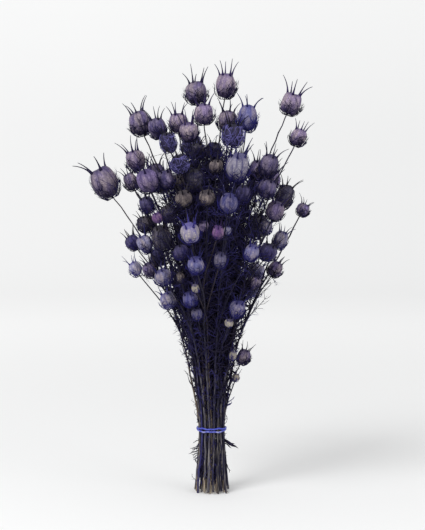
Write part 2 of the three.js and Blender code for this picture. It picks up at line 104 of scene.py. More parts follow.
class Dye(Enum):
    """Dye tones of the pods: ground, colour of ribs, veins and painted shade, bare share, and the threads
    round it.
    """

    PLUM = ("plum", 0x7A6B99, 0x241A4C, 0.5, 0x1A1530, 18)
    GRAPE = ("plum", 0x62578A, 0x1D1644, 0.26, 0x1F1A44, 18)
    MAUVE = ("mauve", 0x9785A9, 0x35265F, 0.55, 0x1E1836, 17)
    HEATHER = ("mauve", 0x7D6C98, 0x2C2156, 0.36, 0x1E1836, 17)
    MISTY = ("violet", 0x2B2552, 0x100C24, 0.03, 0x837DC4, 14)
    VIOLET = ("violet", 0x443D78, 0x17122F, 0.1, 0x2F2A66, 18)
    BLUE = ("blue", 0x7272A2, 0x2B2A76, 0.5, 0x2A2878, 16)
    INK = ("blue", 0x54538C, 0x22205C, 0.3, 0x2A2878, 16)
    LAVENDER = ("lavender", 0x9793B2, 0x312F70, 0.6, 0x26236A, 14)
    SLATE = ("lavender", 0x656289, 0x25224E, 0.28, 0x26236A, 16)
    PEARL = ("lavender", 0xB7B4CC, 0x4C4A94, 0.6, 0x302C80, 10)
    VEINED = ("lavender", 0xA6A1B0, 0x2C2968, 0.16, 0x26236A, 21)
    WHITE = ("cream", 0xC2B8BA, 0x46419A, 0.08, 0x302C80, 10)
    CREAM = ("cream", 0xBBB397, 0x4A4478, 0.3, 0x302C80, 8)
    PINK = ("pink", 0x7E558B, 0x3A2262, 0.24, 0x2A1F50, 9)
    TAN = ("tan", 0x64595E, 0x1D1726, 0.36, 0x17131F, 17)
    DARK = ("dark", 0x4B4765, 0x13101F, 0.24, 0x322D4C, 16)

    def __init__(self, slot: str, ground: int, stain: int, bare: float, thread: int, bracts: int) -> None:
        """Keeps the tone's looks.

        Args:
            slot: Name of its material slot.
            ground: Colour of the skin.
            stain: Colour of ribs, veins and blotches, of the darker crown, and of the painted shade and
                thread net towards the foot.
            bare: Share of the skin that the dye has missed.
            thread: Colour of the threads round the pod.
            bracts: Number of bracts.
        """
        self.slot = slot
        self.ground = from_hex(ground)
        self.stain = from_hex(stain)
        self.bare = bare
        self.thread = from_hex(thread)
        self.bracts = bracts

    @property
    def netted(self) -> bool:
        """Whether the threads lie close on the pod, as a net."""
        return self in (Dye.MISTY, Dye.DARK)


class StalkDye(Enum):
    """Dye tones of the stems: colour, share of the stems, and how much commoner it is on the left, the lit
    side, as painted light.
    """

    INDIGO = (0x36343E, 0.38, 1)
    VIOLET = (0x33314A, 0.18, 1)
    BLUE = (0x403F78, 0.1, 1)
    OCHRE = (0x948570, 0.18, 4)
    GREY = (0x706E74, 0.16, 4)

    def __init__(self, code: int, share: float, on_left: float) -> None:
        """Keeps the tone's colour, its share of the stems and how much commoner it is on the left, as painted
        light.
        """
        self.colour = from_hex(code)
        self.share = share
        self.on_left = on_left


class PodRow(NamedTuple):
    """A pod as read from the picture: middle, width and length in pixels, depth share and tone."""

    x: float
    y: float
    width: float
    length: float
    depth: float
    dye: Dye


# Pods on the near side; depth runs from the axis (0) to the front (-1) or back (1)
SEEN_PODS = [
    PodRow(141, 122, 20, 25, 0.1, Dye.PLUM),
    PodRow(158.5, 126.5, 18, 21, -0.1, Dye.GRAPE),
    PodRow(177, 122, 18, 20, -0.1, Dye.MAUVE),
    PodRow(189, 130.5, 18, 19, -0.5, Dye.MAUVE),
    PodRow(196.5, 92, 21, 23, 0.1, Dye.PLUM),
    PodRow(203.5, 113, 19.5, 21, -0.3, Dye.MAUVE),
    PodRow(168.5, 141, 15, 20, -0.5, Dye.MISTY),
    PodRow(180, 162, 16, 18, -0.6, Dye.MISTY),
    PodRow(197, 150, 16, 16, -0.1, Dye.DARK),
    PodRow(136, 159, 19, 22, 0.2, Dye.MAUVE),
    PodRow(105, 181, 26, 32, -0.2, Dye.PLUM),
    PodRow(131.5, 180, 14, 18, 0.1, Dye.PLUM),
    PodRow(149, 179, 21, 24, -0.7, Dye.HEATHER),
    PodRow(166, 178, 16, 19, -0.5, Dye.GRAPE),
    PodRow(178, 181, 14, 15, -0.35, Dye.TAN),
    PodRow(195, 178, 18, 21, -0.45, Dye.DARK),
    PodRow(225.5, 85, 20, 25, 0.1, Dye.MAUVE),
    PodRow(227.5, 120, 19, 22, 0, Dye.PLUM),
    PodRow(247.5, 117, 19, 27, -0.2, Dye.BLUE),
    PodRow(290.5, 103, 21, 22, 0.1, Dye.MAUVE),
    PodRow(297.5, 136, 16, 18, -0.1, Dye.MAUVE),
    PodRow(233, 134, 20, 23, -0.5, Dye.MISTY),
    PodRow(214, 149, 13, 17, 0, Dye.DARK),
    PodRow(216, 165, 14, 14, -0.6, Dye.TAN),
    PodRow(237.5, 166, 22, 29, -0.85, Dye.VEINED),
    PodRow(258, 168, 16, 20, -0.3, Dye.PLUM),
    PodRow(268, 164, 18, 23, -0.5, Dye.GRAPE),
    PodRow(147, 203, 15, 17, -0.4, Dye.VIOLET),
    PodRow(157.5, 216, 10, 11, -0.8, Dye.PINK),
    PodRow(168, 212, 13, 17, -0.6, Dye.DARK),
    PodRow(146, 222, 15, 17, -0.2, Dye.DARK),
    PodRow(133.5, 240.5, 14, 16, 0, Dye.VIOLET),
    PodRow(145.5, 242, 15, 19, -0.5, Dye.LAVENDER),
    PodRow(162, 236, 20, 26, -0.6, Dye.DARK),
    PodRow(184, 197, 17, 17, -0.75, Dye.TAN),
    PodRow(190.5, 231, 19.5, 21, -1, Dye.WHITE),
    PodRow(181, 250, 15, 15, -0.7, Dye.VIOLET),
    PodRow(196, 263, 17, 17.5, -1, Dye.BLUE),
    PodRow(207, 196, 16, 16, -0.9, Dye.TAN),
    PodRow(228.5, 201, 18, 20, -0.95, Dye.INK),
    PodRow(243, 192, 15, 19, -0.5, Dye.VIOLET),
    PodRow(266.5, 187, 18, 20, -0.5, Dye.GRAPE),
    PodRow(284, 195, 17, 25, 0.1, Dye.DARK),
    PodRow(302.5, 208, 12.5, 13.5, 0, Dye.PLUM),
    PodRow(275, 209, 18, 19, -0.4, Dye.HEATHER),
    PodRow(267, 226, 10, 14, -0.3, Dye.LAVENDER),
    PodRow(218, 230.5, 12, 14.5, -0.9, Dye.PINK),
    PodRow(227, 229, 8, 9, -0.6, Dye.LAVENDER),
    PodRow(204, 225, 10, 11, -0.6, Dye.HEATHER),
    PodRow(220, 258, 13.5, 17, -0.85, Dye.SLATE),
    PodRow(251.5, 250.5, 14.5, 17.5, -0.95, Dye.BLUE),
    PodRow(268, 250, 17, 18, -0.5, Dye.VIOLET),
    PodRow(280.5, 238, 14, 19, 0, Dye.LAVENDER),
    PodRow(275, 267, 14.5, 16.5, 0, Dye.PLUM),
    PodRow(135.5, 267, 12.5, 15.5, 0, Dye.PEARL),
    PodRow(150, 268, 13.5, 16, -0.3, Dye.PLUM),
    PodRow(163, 275, 17, 16.5, -0.8, Dye.LAVENDER),
    PodRow(180.5, 275.5, 8, 12, -0.8, Dye.TAN),
    PodRow(195.5, 286.5, 8, 9.5, -0.95, Dye.CREAM),
    PodRow(168.5, 298, 17, 17, -0.6, Dye.PEARL),
    PodRow(190, 297, 15, 16, -0.9, Dye.INK),
    PodRow(197, 312, 11, 13.5, -0.9, Dye.SLATE),
    PodRow(237.5, 307, 15, 18, -0.95, Dye.BLUE),
    PodRow(229, 321.5, 9, 8.5, -1, Dye.CREAM),
    PodRow(255, 281, 11, 14, -0.4, Dye.PLUM),
    PodRow(233, 354, 8, 10, -0.8, Dye.CREAM),
    PodRow(243.5, 355, 13, 16, -0.1, Dye.PLUM),
    PodRow(236, 376, 7, 8, -0.2, Dye.CREAM),
]


class Stray(NamedTuple):
    """A bit that stands off the bunch: where and how it lies, how thick it is, and if it is violet."""

    height: float
    side: int
    slant: float
    length: float
    radius: float
    dyed: bool = False


# A leaf, fuzz and twigs about the band and feathers under the pods, on the left (-1) and right (1)
STRAYS = [
    Stray(85, -1, 1.5, 10, 1.1),
    Stray(100, 1, 1.0, 10, 1.0, True),
    Stray(104, 1, 0.7, 12, 0.5, True),
    Stray(90, 1, 2.4, 8, 0.35),
    Stray(79, 1, 0.9, 7, 0.35),
    Stray(60, 1, 2.0, 22, 1.9),
    Stray(56, 1, 1.7, 11, 0.7),
    Stray(33, 1, 2.55, 15, 0.5),
    Stray(62, -1, 2.5, 10, 0.6),
    Stray(60, -1, 2.0, 9, 0.5),
    Stray(57, -1, 2.7, 15, 0.6),
    Stray(55, -1, 2.2, 13, 0.55),
    Stray(53, -1, 2.4, 10, 0.5),
    Stray(50, -1, 1.6, 8, 0.5),
    Stray(48, -1, 2.6, 13, 0.6),
    Stray(45, -1, 2.1, 9, 0.5),
    Stray(43, -1, 1.9, 8, 0.5),
    Stray(40, -1, 2.4, 11, 0.55),
    Stray(36, -1, 2.6, 11, 0.5),
    Stray(152, 1, 0.4, 20, 0.4),
    Stray(176, 1, 0.5, 26, 0.4),
    Stray(192, 1, 0.5, 36, 0.42, True),
    Stray(200, 1, 0.45, 44, 0.42),
    Stray(220, 1, 0.65, 32, 0.4),
    Stray(234, 1, 0.85, 28, 0.4),
    Stray(160, -1, 0.5, 15, 0.38),
    Stray(184, -1, 0.5, 16, 0.38, True),
    Stray(197, -1, 0.6, 15, 0.38),
]


class SeededDraws:
    """The layout's own random numbers, the same in every program that repeats the layout."""

    STEP = 0x6D2B79F5
    MASK = 0xFFFFFFFF

    def __init__(self, seed: int) -> None:
        """Starts at a seed."""
        self.state = seed

    def next(self) -> float:
        """The next number from 0 to 1."""
        self.state = (self.state + self.STEP) & self.MASK
        t = self.state
        t = ((t ^ (t >> 15)) * (t | 1)) & self.MASK
        t ^= (t + ((t ^ (t >> 7)) * (t | 61) & self.MASK)) & self.MASK
        return (t ^ (t >> 14)) / (self.MASK + 1)


@dataclass(eq=False)
class Pod:
    """A seed pod: its place, size, tone and lean."""

    middle: np.ndarray
    width: float
    length: float
    depth: float
    dye: Dye
    turn: float
    axis: np.ndarray = field(default_factory=lambda: np.array([0.0, 0.0, 1.0]))
    slot: Optional[np.ndarray] = None

    @property
    def reach(self) -> float:
        """Radius of the ball that stands for the pod while the bunch settles."""
        return (self.width + self.length) / 4

    def frame(self) -> np.ndarray:
        """Turn that takes straight up to the pod's axis, as a 3 by 3 array."""
        return np.array(Vector((0, 0, 1)).rotation_difference(Vector(self.axis)).to_matrix())

    def point(self, out: float, angle: float, height: float) -> np.ndarray:
        """A point near the pod.

        Args:
            out: Distance from the axis in half widths.
            angle: Angle round the axis.
            height: Distance along the axis from the middle, in lengths.

        Returns:
            The point in the bunch's frame.
        """
        radius = out * self.width / 2
        local = np.array([radius * math.cos(angle), radius * math.sin(angle), height * self.length])
        return self.middle + self.frame() @ local


@dataclass(eq=False)
class Strand:
    """A stem or side stalk as straight pieces between points, one at each height."""

    stem: int
    pod: Pod
    heights: np.ndarray
    points: np.ndarray
    radius: float
    parent: Optional["Strand"] = None
    stalks: int = 0
    first: int = 0

    def __post_init__(self) -> None:
        """Fixes the upper end."""
        self.fixed = np.zeros(len(self.points), bool)
        self.fixed[-1] = True

    def spans(self, z: float) -> bool:
        """Whether the strand passes height z."""
        return bool(self.heights[0] <= z <= self.heights[-1])

    def piece(self, z: float) -> tuple[int, float]:
        """Number of the piece at height z, and the share of the way along it."""
        k = max(1, int(np.argmax(self.heights >= z)))
        return k - 1, (z - self.heights[k - 1]) / (self.heights[k] - self.heights[k - 1])

    def at(self, z: float) -> np.ndarray:
        """Level place at height z."""
        k, share = self.piece(z)
        return self.points[k] * (1 - share) + self.points[k + 1] * share

    def place(self, z: float) -> np.ndarray:
        """Point in space at height z."""
        return np.array([*self.at(z), z])

    def path(self) -> np.ndarray:
        """The strand's points in space."""
        return np.column_stack([self.points, self.heights])


class Level:
    """The strands and pods cut at one height, where they are kept apart."""

    TINY = 1e-6
    HALF_EACH = 0.5
    ALONE = 1

    def __init__(self, z: float, strands: Sequence[Strand], pods: Sequence[Pod], gap: float) -> None:
        """Finds the pieces that are cut, and the round cuts of the pods.

        Args:
            z: The height.
            strands: All strands, their points numbered through.
            pods: All pods.
            gap: Least gap to leave.
        """
        cuts = [strand for strand in strands if strand.spans(z)]
        pieces = [strand.piece(z) for strand in cuts]
        self.gap = gap
        self.low = np.array([strand.first + k for strand, (k, _) in zip(cuts, pieces)])
        self.share = np.array([[share] for _, share in pieces])
        self.rise = np.array([s.heights[k + 1] - s.heights[k] for s, (k, _) in zip(cuts, pieces)])
        self.radius = np.array([strand.radius for strand in cuts])
        stems = np.array([strand.stem for strand in cuts])
        self.kin = stems[:, None] == stems[None, :]
        near = [pod for pod in pods if abs(z - pod.middle[2]) < pod.reach + gap]
        self.centres = np.array([pod.middle[:2] for pod in near]).reshape(-1, 2)
        self.reach = np.array([math.sqrt((p.reach + gap) ** 2 - (z - p.middle[2]) ** 2) for p in near])
        self.own = np.array([[strand.pod is pod for pod in near] for strand in cuts], bool)

    def keep_apart(self, points: np.ndarray, moves: np.ndarray) -> None:
        """Notes the moves that take the strands clear of each other and of the pods.

        Args:
            points: Points of all strands.
            moves: Move and weight noted for each point, which this adds to.
        """
        start = points[self.low]
        end = points[self.low + 1]
        places = start * (1 - self.share) + end * self.share
        halves = self.radius * np.hypot(1, np.linalg.norm(end - start, axis=1) / self.rise)
        wanted = halves[:, None] + halves[None, :] + self.gap
        self.push(places, places, np.where(self.kin, 0, wanted), self.HALF_EACH, moves)
        if len(self.centres):
            wanted = halves[:, None] + self.reach[None, :]
            self.push(places, self.centres, np.where(self.own, 0, wanted), self.ALONE, moves)

    def push(
        self, places: np.ndarray, centres: np.ndarray, wanted: np.ndarray, give: float, moves: np.ndarray
    ) -> None:
        """Notes the moves that take the strands to their wanted distances from some centres.

        Args:
            places: Places of the strands at this height.
            centres: What they are to keep clear of.
            wanted: Distance of each strand from each centre.
            give: Share of the shortfall by which the strand moves.
            moves: Move and weight noted for each point, which this adds to.
        """
        apart = places[:, None] - centres[None, :]
        distance = np.linalg.norm(apart, axis=2) + self.TINY
        short = wanted - distance
        for a, b in zip(*np.nonzero(short > 0)):
            way = apart[a, b] * give * short[a, b] / distance[a, b]
            for point, weight in ((0, 1 - self.share[a, 0]), (1, self.share[a, 0])):
                moves[self.low[a] + point] += (way[0] * weight, way[1] * weight, weight)


class Sweep(NamedTuple):
    """How a strand swings out towards its pod: by two powers of height, one early and one late."""

    early: float
    late: float
    late_share: float

    def share(self, way: np.ndarray) -> np.ndarray:
        """Shares of the swing at shares of the way up."""
        return way**self.early * (1 - self.late_share) + way**self.late * self.late_share

    @property
    def end_slope(self) -> float:
        """Slope at the upper end, for each unit of the swing."""
        return self.early * (1 - self.late_share) + self.late * self.late_share


@dataclass
class BunchLayout:
    """Where every pod and strand of the bunch is, repeated from the frame's own rule."""

    height: float = 500
    band_height: float = 71
    stem_rings: tuple[int, ...] = (1, 6, 12, 18, 18)
    stem_pitch: float = 3.5
    foot_splay: float = 1.4
    stem_radius: float = 1.4
    stalk_radius: float = 0.8
    picture_axis: float = 211.5
    picture_ground: float = 491
    picture_top: float = 61
    view_distance: float = 1450
    view_height: float = 340
    far_depth: float = -0.45
    far_width: float = 15
    far_jitter: float = 24
    pod_gap: float = 2.5
    pod_yield: Triple = (0.2, 1, 0.2)
    rank_width: float = 3
    root_depth: float = 0.3
    strand_gap: float = 0.6
    settle_turns: int = 140
    level_step: float = 6
    control_step: float = 56
    smooth_share: float = 0.8
    smooth_rate: float = 0.12
    stem_sweep: Sweep = Sweep(1.2, 3.5, 0.45)
    stalk_sweep: Sweep = Sweep(1.3, 1.3, 0)
    most_stalks: int = 2
    stalk_lowest: float = 20
    stalk_level: float = 45
    stalk_room: float = 30
    fork_lowest: float = 14
    fork_slope: float = 1.6
    fork_drops: Pair = (50, 110)
    pod_lean: float = 0.62
    seed: int = 12
    spread: Profile = (
        (71, 15),
        (160, 38),
        (222, 64),
        (263, 92),
        (330, 118),
        (400, 106),
        (470, 66),
        (500, 34),
    )

    def __post_init__(self) -> None:
        """Lays out the pods, then the stems and stalks that carry them."""
        self.draws = SeededDraws(self.seed)
        self.mm_per_pixel = self.height / (self.picture_ground - self.picture_top)
        self.pods = sorted(self.make_pods(), key=lambda p: -(p.middle[2] + self.rank_width * p.width))
        count = sum(self.stem_rings)
        self.choose_slots(self.pods[:count])
        self.stems = [self.make_stem(pod, k) for k, pod in enumerate(self.pods[:count])]
        self.stalks = [self.make_stalk(pod) for pod in self.pods[count:]]
        self.strands = [*self.stems, *self.stalks]
        self.bend_clear()

    def seen_pod(self, row: PodRow) -> Pod:
        """Sets a pod at its depth along the line of sight.

        Args:
            row: The pod as read from the picture.

        Returns:
            The pod.
        """
        x = (row.x - self.picture_axis) * self.mm_per_pixel
        z = (self.picture_ground - row.y) * self.mm_per_pixel
        reach = read_profile(self.spread, z)
        y = row.depth * math.sqrt(max(0, reach * reach - x * x))
        near = 1 + y / self.view_distance
        middle = np.array([x * near, y, self.view_height + (z - self.view_height) * near])
        size = self.mm_per_pixel * near
        turn = self.draws.next() * math.pi
        return Pod(middle, row.width * size, row.length * size, row.depth, row.dye, turn)

    def far_pod(self, pod: Pod) -> Pod:
        """Repeats a pod on the far side, half a turn round the axis.

        Args:
            pod: A pod on the near side.

        Returns:
            Its like, a little higher or lower.
        """
        lift = self.far_jitter * (self.draws.next() - 0.5)
        middle = pod.middle * (-1, -1, 1) + (0, 0, lift)
        return Pod(middle, pod.width, pod.length, -pod.depth, pod.dye, self.draws.next() * math.pi)

    def make_pods(self) -> list[Pod]:
        """Makes the pods, near and far, and moves them apart where they would touch.

        Returns:
            All pods.
        """
        seen = [self.seen_pod(row) for row in SEEN_PODS]
        widest = self.far_width * self.mm_per_pixel
        far = [self.far_pod(p) for p in seen if p.depth < self.far_depth and p.width > widest]
        pods = seen + far
        places = np.array([p.middle for p in pods])
        reach = np.array([p.reach for p in pods])
        wanted = reach[:, None] + reach[None, :] + self.pod_gap
        selves = np.eye(len(pods))
        for _ in range(self.settle_turns):
            apart = places[:, None] - places[None, :]
            distance = np.linalg.norm(apart, axis=2) + selves
            short = np.maximum(wanted - distance, 0) * (1 - selves)
            moves = (apart / distance[..., None] * short[..., None] / 2).sum(axis=1)
            places += moves * np.array(self.pod_yield)
        for pod, place in zip(pods, places):
            pod.middle = place
        return pods

    def band_slots(self) -> list[np.ndarray]:
        """Packs the stems inside the band in rings of even pitch.

        Returns:
            Their level places, the first at the middle.
        """
        slots = []
        for ring, count in enumerate(self.stem_rings):
            for k in range(count):
                angle = (k + 0.5 * (ring % 2)) / count * TAU
                slots.append(ring * self.stem_pitch * np.array([math.cos(angle), math.sin(angle)]))
        return slots

    def choose_slots(self, pods: Sequence[Pod]) -> None:
        """Gives each pod's stem the free slot that lies its way, the widest spreading first.

        Args:
            pods: Pods that are on a stem.
        """
        free = self.band_slots()
        rim = (len(self.stem_rings) - 1) * self.stem_pitch

        def slope(pod: Pod) -> float:
            """How far the pod spreads for its height."""
            return math.hypot(*pod.middle[:2]) / (pod.middle[2] - self.band_height)

        for rank, pod in enumerate(sorted(pods, key=slope, reverse=True)):
            wanted = unit(pod.middle[:2]) * rim * math.sqrt(1 - rank / len(pods))
            nearest = min(range(len(free)), key=lambda k: float(np.linalg.norm(free[k] - wanted)))
            pod.slot = free.pop(nearest)

    def control_heights(self, low: float, high: float) -> np.ndarray:
        """Heights of a strand's points from its lower to its upper end."""
        pieces = max(2, math.floor((high - low) / self.control_step + 0.5))
        return np.linspace(low, high, pieces + 1)

    def root_of(self, pod: Pod, start: np.ndarray, low: float, sweep: Sweep) -> np.ndarray:
        """Leans a pod with its strand.

        Args:
            pod: The pod.
            start: Level place of the strand's lower end.
            low: Height of that end.
            sweep: How the strand swings out.

        Returns:
            The point where the strand enters the pod.
        """
        slope = (pod.middle[:2] - start) * self.pod_lean * sweep.end_slope / (pod.middle[2] - low)
        pod.axis = unit(np.array([*slope, 1.0]))
        return pod.middle - self.root_depth * pod.length * pod.axis

    @staticmethod
    def sweep_points(heights: np.ndarray, start: np.ndarray, root: np.ndarray, sweep: Sweep) -> np.ndarray:
        """Level points on a curve that swings out from one end to the other."""
        way = (heights - heights[0]) / (heights[-1] - heights[0])
        return start + np.outer(sweep.share(way), root[:2] - start)

    def make_stem(self, pod: Pod, stem: int) -> Strand:
        """Makes the stem of a pod, from its cut end through the band to the pod.

        Args:
            pod: The pod, which has its slot.
            stem: Number of the stem.

        Returns:
            The stem.
        """
        root = self.root_of(pod, pod.slot, self.band_height, self.stem_sweep)
        heights = self.control_heights(self.band_height, root[2])
        points = self.sweep_points(heights, pod.slot, root, self.stem_sweep)
        foot = pod.slot * self.foot_splay
        strand = Strand(stem, pod, np.append(0, heights), np.vstack([foot, points]), self.stem_radius)
        strand.fixed[:2] = True
        return strand

    def make_stalk(self, pod: Pod) -> Strand:
        """Makes a side stalk, from the nearest stem that has room for it.

        Args:
            pod: The pod at its end.

        Returns:
            The stalk.
        """
        foot = pod.middle[2] - pod.length / 2
        level = max(self.band_height + self.stalk_lowest, foot - self.stalk_level)
        room = level + self.stalk_room
        open_stems = [s for s in self.stems if s.spans(room) and s.stalks < self.most_stalks]

        def away(strand: Strand) -> float:
            """Level distance of a stem from the pod."""
            return float(np.linalg.norm(strand.at(level) - pod.middle[:2]))

        parent = min(open_stems, key=away)
        parent.stalks += 1
        least, most = self.fork_drops
        drop = min(max(self.fork_slope * away(parent), least), most)
        fork = max(self.band_height + self.fork_lowest, foot - drop)
        start = parent.at(fork)
        root = self.root_of(pod, start, fork, self.stalk_sweep)
        heights = self.control_heights(fork, root[2])
        points = self.sweep_points(heights, start, root, self.stalk_sweep)
        stalk = Strand(parent.stem, pod, heights, points, self.stalk_radius, parent)
        stalk.fixed[0] = True
        return stalk

    def outermost(self, z: float, side: int) -> Strand:
        """The stem that is furthest to one side, 1 or -1, at height z."""
        return max((stem for stem in self.stems if stem.spans(z)), key=lambda stem: side * stem.at(z)[0])

    def bend_clear(self) -> None:
        """Bends strands until they clear each other and the pods, level by level."""
        points = np.vstack([strand.points for strand in self.strands])
        rest = points.copy()
        loose = ~np.concatenate([strand.fixed for strand in self.strands])
        first = 0
        for strand in self.strands:
            strand.first = first
            strand.points = points[first : first + len(strand.heights)]
            first += len(strand.heights)
        highest = max(strand.heights[-1] for strand in self.strands)
        heights = np.arange(self.band_height + self.level_step, highest, self.level_step)
        levels = [Level(z, self.strands, self.pods, self.strand_gap) for z in heights]
        for turn in range(self.settle_turns):
            moves = np.zeros((len(points), 3))
            for level in levels:
                level.keep_apart(points, moves)
            pushed = loose & (moves[:, 2] > 0)
            points[pushed] += moves[pushed, :2] / moves[pushed, 2:]
            if turn < self.smooth_share * self.settle_turns:
                bend = points - rest
                middle = np.zeros_like(bend)
                middle[1:-1] = (bend[:-2] + bend[2:]) / 2
                points[loose] += self.smooth_rate * (middle - bend)[loose]
            for stalk in self.stalks:
                stalk.points[0] = stalk.parent.at(stalk.heights[0])


class Part(Enum):
    """Finishes of a stem piece, in the order of its material slots."""

    SKIN = 0
    STALK = 1
    THREAD = 2


@dataclass
class Line:
    """A round line: points in millimetres, a radius and a colour at each."""

    points: np.ndarray
    radii: np.ndarray
    colours: np.ndarray


class LineBundle:
    """Round lines of changing thickness, swept into one mesh."""

    SAME_PLACE = 1e-7

    def __init__(self, sides: int, part: Part, pointed: bool = False) -> None:
        """Starts an empty bundle.

        Args:
            sides: Sides of each line, an even number.
            part: Finish of the lines.
            pointed: Whether they end in points.
        """
        self.sides = sides
        self.material = part.value
        self.pointed = pointed
        self.lines: list[Line] = []

    def add(self, points: Any, thick: Sequence[float], foot: Colour, tip: Optional[Colour] = None) -> None:
        """Adds a line.

        Args:
            points: Points along it, in millimetres.
            thick: Radii at even steps along it, in millimetres.
            foot: Colour at its first point.
            tip: Colour at its last point, if that is another.
        """
        share = np.linspace(0, 1, len(points))
        radii = np.interp(share, np.linspace(0, 1, len(thick)), thick)
        if self.pointed:
            radii[-1] = 0
        colours = np.outer(1 - share, foot) + np.outer(share, tip or foot)
        self.lines.append(Line(np.array(points), radii, colours))

    def mesh(self, name: str, offset: np.ndarray) -> bpy.types.Mesh:
        """Sweeps every line and colours the mesh.

        Args:
            name: Name of the mesh.
            offset: Place of the bunch's axis, in millimetres.

        Returns:
            A mesh in metres, with the attributes that the finishes read.
        """
        curve = bpy.data.curves.new(name, "CURVE")
        curve.dimensions = "3D"
        curve.bevel_depth = 1
        curve.bevel_resolution = self.sides // 2 - 2
        for line in self.lines:
            spline = curve.splines.new("POLY")
            spline.points.add(len(line.points) - 1)
            places = np.ones((len(line.points), 4), np.float32)
            places[:, :3] = (line.points + offset) * MM
            spline.points.foreach_set("co", places.ravel())
            spline.points.foreach_set("radius", (line.radii * MM).astype(np.float32))
        holder = bpy.data.objects.new(name, curve)
        bpy.context.scene.collection.objects.link(holder)
        depsgraph = bpy.context.evaluated_depsgraph_get()
        mesh = bpy.data.meshes.new_from_object(holder.evaluated_get(depsgraph))
        bpy.data.objects.remove(holder)
        bpy.data.curves.remove(curve)
        self.colour(mesh)
        self.close(mesh)
        return mesh

    def close(self, mesh: bpy.types.Mesh) -> None:
        """Merges the tips that are points and fills the open ends.

        Args:
            mesh: The swept mesh, which this changes.
        """
        form = bmesh.new()
        form.from_mesh(mesh)
        bmesh.ops.remove_doubles(form, verts=form.verts[:], dist=self.SAME_PLACE)
        ends = [edge for edge in form.edges if edge.is_boundary]
        for face in bmesh.ops.holes_fill(form, edges=ends)["faces"]:
            face.material_index = self.material
        form.to_mesh(mesh)
        form.free()

    def colour(self, mesh: bpy.types.Mesh) -> None:
        """Writes the lines' colours to the swept mesh, ring by ring.

        Args:
            mesh: The swept mesh, which this changes.
        """
        rings = np.concatenate([line.colours for line in self.lines])
        colours = np.ones((len(rings) * self.sides, 4), np.float32)
        colours[:, :3] = np.repeat(rings, self.sides, axis=0)
        mesh.materials.clear()
        mesh.polygons.foreach_set("material_index", np.full(len(mesh.polygons), self.material, np.int32))
        for name in ("dye", "stain"):
            attribute = mesh.attributes.new(name, "FLOAT_COLOR", "POINT")
            attribute.data.foreach_set("color", colours.ravel())
        mesh.attributes.new("skin", "FLOAT_VECTOR", "POINT")


def smooth_path(points: np.ndarray, steps: int) -> np.ndarray:
    """A smooth curve through points.

    Args:
        points: Points to pass through.
        steps: New points for each piece.

    Returns:
        The points of the curve, both ends included.
    """
    padded = np.vstack([2 * points[0] - points[1], points, 2 * points[-1] - points[-2]])
    t = np.arange(steps)[:, None] / steps
    pieces = []
    for a, b, c, d in zip(padded, padded[1:], padded[2:], padded[3:]):
        curve = 2 * b + (c - a) * t + (2 * a - 5 * b + 4 * c - d) * t**2 + (3 * b - a - 3 * c + d) * t**3
        pieces.append(curve / 2)
    return np.vstack([*pieces, points[-1:]])


def spin_round(form: bmesh.types.BMesh, profile: Sequence[Any], centre: Triple, steps: int) -> None:
    """Spins a profile a full turn about an upright axis.

    Args:
        form: Mesh that holds the profile.
        profile: Its vertices and edges.
        centre: A point on the axis.
        steps: Steps in the turn.
    """
    bmesh.ops.spin(
        form, geom=profile, cent=centre, axis=(0, 0, 1), angle=TAU, steps=steps, use_merge=True
    )


def make_object(name: str, form: bmesh.types.BMesh, finishes: Sequence[Any]) -> bpy.types.Object:
    """Makes a smooth object of a form and puts it in the scene.

    Args:
        name: Name of the object and its mesh.
        form: The form, which this frees.
        finishes: Its materials.

    Returns:
        The object.
    """
    mesh = bpy.data.meshes.new(name)
    form.to_mesh(mesh)
    form.free()
    mesh.shade_smooth()
    for finish in finishes:
        mesh.materials.append(finish)
    made = bpy.data.objects.new(name, mesh)
    bpy.context.scene.collection.objects.link(made)
    return made


